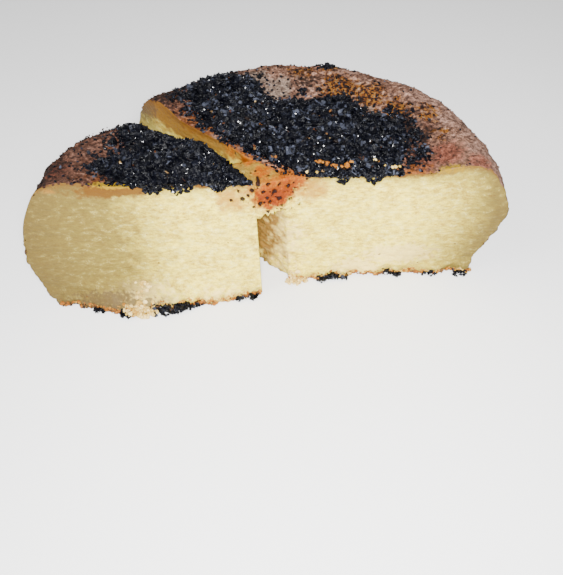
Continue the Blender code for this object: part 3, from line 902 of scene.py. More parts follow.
@dataclass(frozen=True)
class RindFinish:
    """The fuzzy mauve brown rind, with its ochre, grey, red and dark patches, and painted shade towards its
    back and left.
    """

    mauve: tuple = (0.175, 0.094, 0.064)
    brown: tuple = (0.088, 0.041, 0.024)
    pale: tuple = (0.30, 0.18, 0.13)
    # Multiplies the rind darker as painted shade, away from the light
    rind_shade: tuple = (0.46, 0.39, 0.37)
    under: tuple[Layer, ...] = (
        Layer(Tone.MOULD, 4.0, 0.9, 0.85, (0.135, 0.100, 0.078)),
        Layer(Tone.GREY, 6.0, 0.9, 0.7, (0.195, 0.115, 0.086)),
        Layer(Tone.RED, 2.0, 0.9, 0.75, (0.125, 0.036, 0.021)),
        Layer(Tone.BAND, 3.0, 0.9, 0.8, (0.16, 0.050, 0.007)),
    )
    over: tuple[Layer, ...] = (
        Layer(Tone.YELLOW, 1.5, 0.9, 0.9, (0.24, 0.150, 0.006)),
        Layer(Tone.STAIN, 1.8, 0.9, 0.95, (0.26, 0.068, 0.004)),
        Layer(Tone.DARK, 1.8, 1.3, 0.9, (0.009, 0.005, 0.004)),
    )
    contrast: tuple = ((0.12, (0.22, 0.19, 0.18)), (0.45, (0.8, 0.78, 0.77)), (0.85, (1.7, 1.7, 1.7)))
    tangle: tuple = (
        (0.22, (0.005, 0.003, 0.003)), (0.44, (0.026, 0.011, 0.006)), (0.55, (0.14, 0.040, 0.005)),
        (0.66, (0.19, 0.085, 0.010)), (0.78, (0.11, 0.064, 0.040)), (0.95, (0.27, 0.18, 0.10)),
    )
    roughness: float = 0.70
    gloss: float = 0.12

    def material(self, effects: Effects) -> bpy.types.Material:
        """Build the material.

        Args:
            effects: The shared node groups.

        Returns:
            The material.
        """
        w = Dressing("rind", effects)
        curls, fine = w.clouds(2.0), w.clouds(0.8)
        w.colour = w.blend(w.clouds(13.0), self.mauve, self.brown)
        w.lay(w.span(curls, 0.55, 0.95), self.pale, 0.5)
        w.lay_all(self.under)
        spread = w.plus(w.times(curls, 0.6), w.times(fine, 0.4))
        w.lay(1.0, w.ramp(spread, self.contrast), way="MULTIPLY")
        w.lay(w.mask(Tone.OCHRE, 3.0, 1.0), w.ramp(spread, self.tangle))
        # Painted shade: the rind multiplied darker in its patches
        w.lay(w.mask(Tone.PAINTED_RIND_SHADE, 7.0, 0.5), self.rind_shade, way="MULTIPLY")
        w.lay_all(self.over)
        height = w.plus(curls, w.times(fine, 0.6))
        w.finish(w.plus(w.times(fine, 0.2), self.roughness), self.gloss, height, 1.0, 0.0006)
        return w.material


@dataclass(frozen=True)
class MarcFinish:
    """Nearly black grape skins with a blue tint and a glossy coat, some of them pale blue grey as painted
    glints, and the brown and pale bits among them.
    """

    # Tints near 0.84 turn pale blue grey: painted glints on some skins and grains
    stops: tuple = (
        (0.0, (0.0007, 0.0008, 0.0016)), (0.60, (0.0016, 0.0018, 0.0040)),
        (0.77, (0.0050, 0.0058, 0.010)), (0.84, (0.050, 0.056, 0.080)),
        (0.88, (0.003, 0.0026, 0.003)), (0.95, (0.010, 0.005, 0.003)),
        (0.98, (0.09, 0.026, 0.006)), (1.0, (0.30, 0.21, 0.09)),
    )
    roughness: float = 0.22
    gloss: float = 0.11
    coat: float = 0.9
    coat_roughness: float = 0.07

    def material(self, effects: Effects) -> bpy.types.Material:
        """Build the material.

        Args:
            effects: The shared node groups.

        Returns:
            The material.
        """
        w = Dressing("marc", effects)
        fine = w.clouds(0.8)
        w.colour = w.ramp(w.attribute("tint"), self.stops)
        w.lay(fine, self.stops[0][1], 0.3)
        w.finish(w.plus(w.times(fine, 0.25), self.roughness), self.gloss, fine, 0.7, 0.0003)
        w.give("Coat Weight", w.times(w.span(fine, 0.55, 0.95), self.coat))
        w.give("Coat Roughness", self.coat_roughness)
        return w.material


@dataclass(frozen=True)
class CrumbFinish:
    """Crumbs of paste at the foot, from cream over the orange of the rind to brown."""

    stops: tuple = (
        (0.0, (0.80, 0.62, 0.26)), (0.35, (0.46, 0.29, 0.05)), (0.6, (0.27, 0.085, 0.006)),
        (0.8, (0.10, 0.050, 0.018)), (1.0, (0.014, 0.008, 0.006)),
    )
    roughness: float = 0.7
    gloss: float = 0.15

    def material(self, effects: Effects) -> bpy.types.Material:
        """Build the material.

        Args:
            effects: The shared node groups.

        Returns:
            The material.
        """
        w = Dressing("crumb", effects)
        fine = w.clouds(0.9)
        w.colour = w.ramp(w.plus(w.attribute("tint"), w.times(w.minus(fine, 0.5), 0.2)), self.stops)
        w.finish(self.roughness, self.gloss, fine, 0.7, 0.0003)
        return w.material


@dataclass
class CheeseSlice:
    """One slice of the wheel, with its fine relief and its patches."""

    name: str
    node: str
    form: SliceForm
    steps: tuple[int, int, int]
    patches: tuple[Patch, ...]
    flaky: tuple[Patch, ...] = ()

    def shaped(self, u: float, v: float, w: float) -> tuple[Vector, float, float]:
        """Place of a point of the unit block on the slice.

        Args:
            u: From the tip out.
            v: From the cut face to the front face.
            w: Up.

        Returns:
            The place, its distance to the rim and its depth below the top.
        """
        form = self.form
        angle = mix(form.cut_angle, form.front_angle, v)
        full = form.widest(v) * form.rim.at(w * SHOULDER_HEIGHT)
        reach = u * full
        top = form.plain_top(u, v)
        z = w * top
        edge = full - reach
        if u == 1:
            reach += form.relief(form.on_plane(angle, reach, z, 0.0, False))
        push = 0.0
        if v in (0, 1):
            push = form.plain_push(reach, z, v == 1)
            plain = form.on_plane(angle, reach, z, push, v == 1)
            flaky = max((patch.cover(np.array([plain]))[0] for patch in self.flaky), default=0.0)
            push += form.fine_push(reach, z, v == 1, flaky)
            if v == 1:
                push -= pitted(plain.x, z)
        place = form.on_plane(angle, reach, z, push, v == 1)
        if w == 1:
            place.z += form.bare(place.x, place.y) * form.relief(place)
        return place, edge, top - z

    def build(self, materials: list[bpy.types.Material]) -> bpy.types.Object:
        """Build the slice as one closed mesh and dress it.

        Args:
            materials: The paste and the rind.

        Returns:
            The finished piece.
        """
        bm = bmesh.new()
        unit_block(bm, self.steps)
        for face in bm.faces:
            on_cut = all(v.co.y < 1e-6 for v in face.verts) or all(v.co.y > 1 - 1e-6 for v in face.verts)
            face.material_index = 0 if on_cut else 1
        layers = float_layers(bm, ("edge", "under", "height"))
        for vert in bm.verts:
            u, v, w = (round(value, 6) for value in vert.co)
            place, edge, under = self.shaped(u, v, w)
            vert.co = place
            for layer, value in zip(layers, (edge, under, place.z)):
                vert[layer] = value
        bmesh.ops.remove_doubles(bm, verts=bm.verts[:], dist=0.001)
        bmesh.ops.holes_fill(bm, edges=[edge for edge in bm.edges if edge.is_boundary])
        bmesh.ops.recalc_face_normals(bm, faces=bm.faces[:])
        item = finish_object(self.name, bm, materials)
        paint(item, self.patches + self.flaky)
        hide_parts(self.node)
        return item


@dataclass
class StainedBridge:
    """The crumbly block of stained paste that still joins the slices near their tips."""

    floor: float = 47.0
    floor_rise: float = 9.0
    length: float = 19.0
    overlap: float = 5.0
    proud: float = 0.9
    roughness: float = 1.3
    grain: float = 4.5
    crumble: float = 0.9
    crumble_size: float = 2.4
    dust: float = 0.5
    dust_size: float = 1.1
    scallop: float = 2.2
    scallop_size: float = 3.0
    fringe: float = 1.6
    fringe_size: float = 1.3
    bulge: float = 1.6
    set_back: float = 0.7
    below_top: float = 0.3
    steps: tuple[int, int, int] = (48, 36, 36)

    def shaped(self, u: float, v: float, w: float) -> Vector:
        """Place of a point of the unit block on the bridge.

        Args:
            u: From the wedge to the large slice.
            v: From the front to the back.
            w: Up.

        Returns:
            The place.
        """
        back = math.radians(MAIN_FORM.cut_angle)
        lean = WEDGE_FORM.lean * mix(self.floor, TOP.points[0][1], w) / LEAN_HEIGHT
        left = Vector((WEDGE_FORM.tip[0] - self.overlap, WEDGE_FORM.tip[1] + lean, 0))
        right = Vector((MAIN_FORM.tip[0] + self.overlap, MAIN_FORM.tip[1], 0))
        place = left.lerp(right, u) + Vector((math.cos(back), math.sin(back), 0)) * (self.length * v)
        sides = 4.0 * u * (1.0 - u)
        place.y -= (1.0 - v) * (self.proud * self.bulge * sides - self.set_back)
        place.z = mix(self.floor + self.floor_rise * v * v, TOP.points[0][1] - self.below_top, w)
        rough = self.roughness * swell(place.x, place.y, place.z, self.grain, 5.0)
        crumbs = self.crumble * (ridge(place.x, place.y, place.z, self.crumble_size, 6.0) - 0.5)
        crumbs += self.dust * swell(place.x, place.y, place.z, self.dust_size, 7.0)
        place.y += (rough * 0.5 + crumbs) * (1.0 - v)
        if v == 0:
            place.y += pitted(place.x, place.z)
        if w in (0, 1):
            place.z += (rough + crumbs) * (1.0 - 0.7 * w)
        if w == 0:
            place.z += self.scallop * swell(place.x, 0.0, 0.0, self.scallop_size, 9.0)
            place.z += self.fringe * swell(place.x, place.y, 0.0, self.fringe_size, 8.0)
        return place

    def build(self, materials: list[bpy.types.Material], patches: tuple[Patch, ...]) -> bpy.types.Object:
        """Build the bridge and dress it.

        Args:
            materials: The paste.
            patches: The stain.

        Returns:
            The finished piece.
        """
        bm = bmesh.new()
        unit_block(bm, self.steps)
        for vert in bm.verts:
            vert.co = self.shaped(*(round(value, 6) for value in vert.co))
        layers = float_layers(bm, ("edge", "under", "height"))
        for vert in bm.verts:
            for layer, value in zip(layers, (60.0, TOP.points[0][1] - vert.co.z, vert.co.z)):
                vert[layer] = value
        bmesh.ops.holes_fill(bm, edges=[edge for edge in bm.edges if edge.is_boundary])
        bmesh.ops.recalc_face_normals(bm, faces=bm.faces[:])
        item = finish_object("stained_bridge", bm, materials)
        paint(item, patches)
        return item


class Shape(Enum):
    """The kinds of small thing that lie on the cheese."""

    SKIN = "skin"
    GRAIN = "grain"
    SEED = "seed"
    STEM = "stem"


@dataclass
class Sprinkle:
    """Many small things of one kind, joined into one mesh."""

    name: str
    shape: Shape
    seed: int
    variants: int = 8
    variety: tuple = ((0.8, 1.25), (0.7, 1.1), (0.8, 1.2))
    places: list = field(default_factory=list)

    def draft(self, draw: random.Random) -> bmesh.types.BMesh:
        """One small thing about a millimetre across, lying flat.

        Args:
            draw: The random draws.

        Returns:
            Its mesh.
        """
        bm = bmesh.new()
        if self.shape is Shape.SKIN:
            bmesh.ops.create_grid(bm, x_segments=3, y_segments=2, size=0.5)
            curl = draw.uniform(0.5, 1.5)
            for vert in bm.verts:
                vert.co.z = curl * vert.co.x**2 + draw.uniform(-0.14, 0.14)
                vert.co.x += draw.uniform(-0.1, 0.1)
                vert.co.y += draw.uniform(-0.1, 0.1)
            bmesh.ops.solidify(bm, geom=bm.faces[:], thickness=0.14)
        elif self.shape is Shape.GRAIN:
            bmesh.ops.create_icosphere(bm, subdivisions=1, radius=0.5)
            for vert in bm.verts:
                vert.co *= draw.uniform(0.65, 1.2)
                vert.co.z *= 0.6
        elif self.shape is Shape.SEED:
            bmesh.ops.create_icosphere(bm, subdivisions=1, radius=0.5)
            for vert in bm.verts:
                vert.co.y *= 0.62 - 0.2 * vert.co.x
                vert.co.z *= 0.5
        else:
            bmesh.ops.create_cone(bm, cap_ends=True, segments=5, radius1=0.07, radius2=0.04, depth=1.0)
            along = [edge for edge in bm.edges if abs(edge.verts[0].co.z - edge.verts[1].co.z) > 0.5]
            bmesh.ops.subdivide_edges(bm, edges=along, cuts=2)
            bmesh.ops.rotate(bm, verts=bm.verts[:], matrix=Matrix.Rotation(math.radians(90), 3, "Y"))
            bend = draw.uniform(-0.5, 0.5)
            for vert in bm.verts:
                vert.co.y += bend * vert.co.x**2
        bmesh.ops.triangulate(bm, faces=bm.faces[:])
        bmesh.ops.recalc_face_normals(bm, faces=bm.faces[:])
        return bm

    def put(self, place: Vector, facing: Vector, size: float, tint: float) -> None:
        """Add one thing: where it lies, the way the surface looks there, its size and its tint."""
        self.places.append((place.copy(), facing.copy(), size, tint))

    def build(self, material: bpy.types.Material, slot: str, tilt: float = 0.8) -> bpy.types.Object:
        """Join every thing into one mesh and dress it.

        Args:
            material: The material of all of them.
            slot: Name of a material slot; not used.
            tilt: How far a thing may stand up from the surface, in radians.

        Returns:
            The finished piece.
        """
        draw = random.Random(self.seed)
        models = []
        for _ in range(self.variants):
            bm = self.draft(draw)
            bm.verts.ensure_lookup_table()
            points = np.array([tuple(vert.co) for vert in bm.verts])
            models.append((points, np.array([[vert.index for vert in face.verts] for face in bm.faces])))
            bm.free()
        points, faces, tints, count = [], [], [], 0
        for place, facing, size, tint in self.places:
            model, corners = draw.choice(models)
            lie = facing.to_track_quat("Z", "Y").to_matrix()
            lie = lie @ Matrix.Rotation(draw.uniform(0, math.tau), 3, "Z")
            lie = lie @ Matrix.Rotation(draw.uniform(-tilt, tilt), 3, "X")
            lie = lie @ Matrix.Rotation(draw.uniform(0, math.tau), 3, "Z")
            sizes = size * np.array([draw.uniform(*limits) for limits in self.variety])
            laid = (model * sizes) @ np.array(lie).T + np.array(place + TO_FRAME)
            laid[:, 2] += max(0.0, -laid[:, 2].min())
            points.append(laid)
            faces.append(corners + count)
            tints.append(np.full(len(model), tint))
            count += len(model)
        mesh = bpy.data.meshes.new(self.name)
        joined = np.concatenate(faces)
        mesh.from_pydata(np.concatenate(points) * MM, [], joined)
        layer = mesh.attributes.new("tint", "FLOAT", "POINT")
        layer.data.foreach_set("value", np.concatenate(tints).astype(np.float32))
        mesh.materials.append(material)
        mesh.shade_flat()
        item = bpy.data.objects.new(self.name, mesh)
        bpy.context.scene.collection.objects.link(item)
        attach(item, BODY)
        LOG.info("%s: %d things, %d faces", self.name, len(self.places), len(joined))
        return item


@dataclass
class MarcLayer:
    """The layer of grape marc on one slice: a dark crust, and what lies on it."""

    name: str
    node: str
    form: SliceForm
    front_thickness: float
    cut_thickness: float
    seed: int
    reach: tuple[float, float]
    skins: int
    cell: float = 1.5
    turn: float = 33.0
    gap: float = 0.4
    least: float = 0.6
    edge: float = 1.3
    thick_reach: float = 42.0
    thin_run: float = 28.0
    bump: float = 2.2
    bump_size: float = 6.0
    fade_run: float = 6.0
    tail_reach: float = 60.0
    tail_run: float = 18.0
    tail: float = 1.8
    spilled: float = 13.0
    hang: float = 5.0
    heap: tuple[float, float, float, float] = (0.0, 0.0, 1.0, 0.0)
    tint_to: float = MARC_TINTS
    crumble: float = 0.5
    crumble_size: float = 2.1
    dust: float = 0.3
    dust_size: float = 1.0
    thinnest: float = 0.3
    covered: float = 0.6
    margin: float = 9.0
    thinning: float = 2.0
    sizes: tuple[float, float, float] = (1.0, 3.0, 1.8)
    depths: tuple[float, float] = (-0.9, 0.5)
    loose_height: float = 0.3
    loose_size: float = 0.7
    pale_size: float = 1.6
    pale_share: float = 0.012
    skins_to: float = 0.32
    grains_to: float = 0.991
    seeds_to: float = 0.995
    stray_density: float = 2.6
    stray_spread: float = 0.55
    strays: tuple[tuple[float, float, float], ...] = ()
    bits: tuple[tuple[float, float, float, float], ...] = ()

    def height(self, x: float, y: float) -> float:
        """Height of the marc over the top at a point, without its crumbs."""
        form = self.form
        depth = -form.marc.outside(x, y)
        fade = clamp(depth / self.fade_run)
        back = y - form.lean
        reach = math.hypot(x - form.tip[0], back - form.tip[1])
        share = max(form.share_at(x, back), clamp((reach - self.thick_reach) / self.thin_run))
        tail = clamp((reach - self.tail_reach) / self.tail_run)
        thickness = mix(mix(self.cut_thickness, self.front_thickness, share), self.tail, tail)
        heap_x, heap_y, radius, tall = self.heap
        thickness += tall * math.exp(-((x - heap_x) ** 2 + (y - heap_y) ** 2) / radius**2)
        bumps = self.bump * swell(x, y, 0, self.bump_size, self.seed) * (1.0 - tail)
        return max(self.least, self.edge + fade * (thickness - self.edge + bumps))

    def crust(self, material: bpy.types.Material) -> bpy.types.Object:
        """Build the dark crust under the loose marc.

        Args:
            material: The marc.

        Returns:
            The finished piece.
        """
        outline = self.form.marc
        low, high = outline.low, outline.high
        half = 0.5 * math.hypot(*(high - low))
        middle = Matrix.Translation((*((low + high) / 2), 0.0))
        bm = bmesh.new()
        steps = round(2 * half / self.cell)
        matrix = middle @ Matrix.Rotation(math.radians(self.turn), 4, "Z")
        bmesh.ops.create_grid(bm, x_segments=steps, y_segments=steps, size=half, matrix=matrix)
        beyond = [face for face in bm.faces if outline.outside(*face.calc_center_median().xy) > 0]
        bmesh.ops.delete(bm, geom=beyond, context="FACES")
        extruded = bmesh.ops.extrude_face_region(bm, geom=bm.faces[:], use_keep_orig=True)
        crust = {item for item in extruded["geom"] if isinstance(item, bmesh.types.BMVert)}
        for vert in bm.verts:
            x, y = vert.co.xy
            floor = self.form.top_height(x, y) + self.gap
            vert.co.z = floor
            if vert in crust:
                crumbs = self.crumble * swell(x, y, 0, self.crumble_size, self.seed + 1)
                crumbs += self.dust * swell(x, y, 0, self.dust_size, self.seed + 2)
                vert.co.z = floor + max(self.thinnest, self.height(x, y) + crumbs - self.covered)
        bmesh.ops.recalc_face_normals(bm, faces=bm.faces[:])
        item = finish_object(self.name, bm, [material], smooth=False)
        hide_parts(self.node)
        return item

    def facing(self, x: float, y: float) -> Vector:
        """The way that the top of the marc looks at a point."""
        step = 1.0
        rise_x = self.height(x + step, y) - self.height(x - step, y)
        rise_y = self.height(x, y + step) - self.height(x, y - step)
        return Vector((-rise_x / (2 * step), -rise_y / (2 * step), 1.0)).normalized()

    def scatter(self, skins: Sprinkle, grains: Sprinkle, seeds: Sprinkle, stems: Sprinkle) -> None:
        """Lay skins, grains, seeds and stems on the crust, thinning out round it.

        Args:
            skins: Where the skins are collected.
            grains: Where the grains are collected.
            seeds: Where the seeds are collected.
            stems: Where the stems are collected.
        """
        draw = random.Random(self.seed)
        outline = self.form.marc
        low, high = outline.low - self.margin, outline.high + self.margin
        placed = 0
        while placed < self.skins:
            x, y = draw.uniform(low[0], high[0]), draw.uniform(low[1], high[1])
            away = outline.outside(x, y)
            if not self.form.holds(x, y):
                continue
            if away > 0 and draw.random() > math.exp(-away / self.thinning):
                continue
            placed += 1
            z = self.form.lid(x, y).z
            loose = away > 0
            high_up = self.loose_height
            if not loose:
                high_up = self.gap + self.height(x, y) + draw.uniform(*self.depths)
            place = Vector((x, y, z + high_up))
            facing = UP if loose else self.facing(x, y)
            tint = draw.random() * self.tint_to
            size = pick(draw, *self.sizes) * (self.loose_size if loose else 1.0)
            if draw.random() < self.pale_share:
                tint, size = draw.uniform(0.95, 1.0), min(size, self.pale_size)
            kind = draw.random()
            if kind < self.skins_to:
                skins.put(place, facing, size * 1.25, tint)
            elif kind < self.grains_to:
                grains.put(place, facing, size, tint)
            elif kind < self.seeds_to:
                seeds.put(place + facing * 0.3, facing, 3.2, draw.uniform(0.86, 0.93))
            else:
                stems.put(place + facing * 0.4, facing, draw.uniform(3.0, 6.0), draw.uniform(0.72, 0.96))
        self.spill(draw, skins, grains)
        self.stray(draw, skins, grains)

    def stray(self, draw: random.Random, skins: Sprinkle, grains: Sprinkle) -> None:
        """Dust small heaps of marc onto the rind round the layer.

        Args:
            draw: The random draws.
            skins: Where the skins are collected.
            grains: Where the grains are collected.
        """
        for x, y, radius in self.strays:
            for _ in range(round(self.stray_density * radius * radius)):
                off = Vector((draw.gauss(0, self.stray_spread), draw.gauss(0, self.stray_spread))) * radius
                if not self.form.holds(x + off.x, y + off.y):
                    continue
                place = self.form.lid(x + off.x, y + off.y)
                heap = max(0.0, 1.0 - off.length / radius)
                place.z += 0.2 + draw.random() * heap * min(2.0, 0.45 * radius)
                target = skins if draw.random() < 0.3 else grains
                target.put(place, UP, pick(draw, 0.9, 2.3, 1.5), draw.random() * MARC_TINTS)

    def mix_in(self, crumbs: Sprinkle) -> None:
        """Put the bits of paste on the marc, each given as a place, a size and a tint."""
        for x, y, size, tint in self.bits:
            high_up = self.gap + self.height(x, y) + 0.4
            crumbs.put(self.form.lid(x, y) + UP * high_up, self.facing(x, y), size, tint)

    def spill(self, draw: random.Random, skins: Sprinkle, grains: Sprinkle) -> None:
        """Let some marc hang over the top edge of the front face.

        Args:
            draw: The random draws.
            skins: Where the skins are collected.
            grains: Where the grains are collected.
        """
        form = self.form
        for _ in range(round(self.spilled * (self.reach[1] - self.reach[0]))):
            along = draw.uniform(*self.reach)
            ends = clamp(min(along - self.reach[0], self.reach[1] - along) / 5.0)
            lobe = clamp(0.35 + 1.8 * swell(along, 0, 0, 7.0, self.seed))
            top = form.plain_top(along / form.shoulder(1.0), 1.0)
            z = top + 1.4 - draw.random() ** 1.4 * (1.0 + self.hang * ends * lobe)
            place = form.on_front(along, z, draw.uniform(-0.2, 0.7))
            facing = (form.normal(True) + UP * draw.uniform(0.0, 1.0)).normalized()
            target = skins if draw.random() < 0.35 else grains
            target.put(place, facing, pick(draw, 1.0, 2.3, 1.5), draw.random() * MARC_TINTS)


@dataclass
class Foot:
    """What lies round the foot of a slice's front face: clumps of marc, and crumbs of paste and rind."""

    form: SliceForm
    clumps: tuple[tuple[float, float], ...]
    length: float
    crumbs: int
    chunk: tuple[float, float, float]
    seed: int
    pale: tuple[float, ...] = ()
    golden_to: float = 200.0
    flatness: float = 0.36
    stands_out: float = 0.35
    lowest: float = 0.35
    width: float = 1.35
    core: float = 1.3
    core_tint: float = 0.3
    density: float = 6.0
    chunk_density: float = 4.0
    paler_above: float = 1.6
    golden_fade: float = 12.0

    def scatter(self, skins: Sprinkle, grains: Sprinkle, crumbs: Sprinkle) -> None:
        """Lay the clumps and the crumbs.

        Args:
            skins: Where the grape skins are collected.
            grains: Where the grape grains are collected.
            crumbs: Where the crumbs of paste are collected.
        """
        draw = random.Random(self.seed)
        form = self.form
        for reach, radius in self.clumps:
            height = radius * self.flatness
            middle = form.on_front(reach, height, self.stands_out * radius)
            is_pale = reach in self.pale
            (crumbs if is_pale else grains).put(middle, UP, self.core * radius, self.core_tint)
            for _ in range(round(self.density * radius * radius)):
                way = Vector((draw.gauss(0, 1), draw.gauss(0, 1), draw.gauss(0, 1))).normalized()
                away = radius * draw.uniform(0.5, 1.2)
                place = middle + Vector((way.x * self.width, way.y, way.z * self.flatness)) * away
                place.z = max(self.lowest, place.z)
                if is_pale:
                    crumbs.put(place, way, pick(draw, 1.0, 2.8), pick(draw, 0.05, 0.5, 1.5))
                    continue
                target = skins if draw.random() < 0.35 else grains
                target.put(place, way, pick(draw, 0.9, 2.2), draw.random() * MARC_TINTS)
        for _ in range(self.crumbs):
            reach = draw.uniform(0.5, self.length)
            z = draw.uniform(0.3, 3.0) * draw.random() + 0.3
            place = form.on_front(reach, z, draw.uniform(-0.6, 0.9))
            golden = clamp(0.6 + 1.5 * swell(reach, 0, 0, 9.0, self.seed))
            golden *= clamp((self.golden_to - reach) / self.golden_fade)
            tint = mix(draw.uniform(0.6, 1.0), draw.uniform(0.3, 0.7), golden)
            if z > self.paler_above:
                tint *= 0.7
            facing = (form.normal(True) + UP * 0.5).normalized()
            crumbs.put(place, facing, pick(draw, 0.9, 2.6, 1.6), tint)
        start, end, tall = self.chunk
        for _ in range(round(self.chunk_density * (end - start))):
            reach, z = draw.uniform(start, end), draw.uniform(0.5, tall)
            place = form.on_front(reach, z, draw.uniform(-0.5, 0.8))
            crumbs.put(place, form.normal(True), draw.uniform(1.4, 3.4), draw.uniform(0.0, 0.35))


@dataclass
class Bloom:
    """The curls and flecks that stand on the rind."""

    form: SliceForm
    on_rim: int
    on_top: int
    seed: int
    heights: tuple[float, float] = (0.5, 62.0)
    rim_sizes: tuple[float, float, float] = (0.8, 1.7, 1.5)
    sunk: float = 0.3
    top_sizes: tuple[float, float, float] = (0.8, 1.8, 1.5)
    top_sunk: float = 0.2
    top_share: float = 0.985
    top_height: float = 64.5
    clear: float = 0.5
    dusted: float = 0.35
    dusted_run: float = 9.0
    patchy: float = 0.06

    def scatter(self, flecks: Sprinkle, grains: Sprinkle) -> None:
        """Lay the flecks of rind, with some crumbs of marc among them.

        Args:
            flecks: Where the flecks of rind are collected.
            grains: Where the grape grains are collected.
        """
        draw = random.Random(self.seed)
        form = self.form
        for _ in range(self.on_rim):
            place, facing = form.skin(draw.random(), draw.uniform(*self.heights))
            flecks.put(place - facing * self.sunk, facing, pick(draw, *self.rim_sizes), 0.5)
        placed = 0
        while placed < self.on_top:
            share = draw.random()
            reach = form.shoulder(share) * self.top_share * math.sqrt(draw.random())
            angle = mix(form.cut_angle, form.front_angle, share)
            flat = form.on_plane(angle, reach, self.top_height, 0.0, False)
            away = form.marc.outside(flat.x, flat.y)
            if away < self.clear:
                continue
            placed += 1
            place = form.lid(flat.x, flat.y)
            flecks.put(place - UP * self.top_sunk, UP, pick(draw, *self.top_sizes), 0.5)
            patchy = clamp(0.5 + 2.0 * swell(flat.x, flat.y, 0, 9.0, self.seed))
            if draw.random() < self.dusted * math.exp(-away / self.dusted_run) + self.patchy * patchy:
                grains.put(place + UP * 0.3, UP, draw.uniform(0.8, 1.9), draw.random() * 0.9)


class Studio:
    """The camera, the lights and the floor."""

    place = (0.006343, -0.232482, 0.22977)
    pitch, roll = 0.8901, -0.0440
    focal, tall, sensor = 591.0, 575, 36.0

    def camera(self) -> None:
        """Set the camera where the photograph was taken from."""
        data = bpy.data.cameras.new("camera")
        data.sensor_width = self.sensor
        data.lens = self.sensor * self.focal / self.tall
        cos_pitch, sin_pitch = math.cos(self.pitch), math.sin(self.pitch)
        ahead = Vector((0.0, cos_pitch, -sin_pitch))
        level, upright = Vector((1.0, 0.0, 0.0)), Vector((0.0, sin_pitch, cos_pitch))
        right = math.cos(self.roll) * level + math.sin(self.roll) * upright
        up = math.cos(self.roll) * upright - math.sin(self.roll) * level
        camera = bpy.data.objects.new("camera", data)
        turned = Matrix((right, up, -ahead)).transposed().to_4x4()
        camera.matrix_world = Matrix.Translation(self.place) @ turned
        bpy.context.scene.collection.objects.link(camera)
        bpy.context.scene.camera = camera

    def light(
        self, name: str, place: tuple, size: float, power: float, colour: tuple = (1.0, 1.0, 1.0),
    ) -> None:
        """Hang a square soft light that looks at the cheese.

        Args:
            name: The light's name.
            place: Where it hangs, in metres.
            size: Length of its side.
            power: Its power in watts.
            colour: Its colour.
        """
        data = bpy.data.lights.new(name, "AREA")
        data.size, data.energy, data.color = size, power, colour
        lamp = bpy.data.objects.new(name, data)
        lamp.location = place
        lamp.rotation_euler = (Vector((0.0, 0.0, 0.03)) - Vector(place)).to_track_quat("-Z", "Y").to_euler()
        bpy.context.scene.collection.objects.link(lamp)

    def floor(self) -> None:
        """Lay a wide pale floor."""
        bm = bmesh.new()
        bmesh.ops.create_grid(bm, x_segments=1, y_segments=1, size=3.0)
        mesh = bpy.data.meshes.new("floor")
        bm.to_mesh(mesh)
        bm.free()
        material = bpy.data.materials.new("floor")
        material.use_nodes = True
        shader = material.node_tree.nodes["Principled BSDF"]
        shader.inputs["Base Color"].default_value = (0.9, 0.9, 0.9, 1.0)
        shader.inputs["Roughness"].default_value = 0.9
        mesh.materials.append(material)
        item = bpy.data.objects.new("floor", mesh)
        bpy.context.scene.collection.objects.link(item)

    def build(self) -> None:
        """Set up the whole studio."""
        self.camera()
        self.floor()
        world = bpy.data.worlds.new("studio")
        world.use_nodes = True
        world.node_tree.nodes["Background"].inputs["Color"].default_value = (1.0, 1.0, 1.0, 1.0)
        world.node_tree.nodes["Background"].inputs["Strength"].default_value = 0.5
        bpy.context.scene.world = world
        self.light("key", (0.03, -0.32, 0.33), 0.10, 7.0)
        self.light("fill", (-0.5, -0.1, 0.6), 0.5, 3.0)


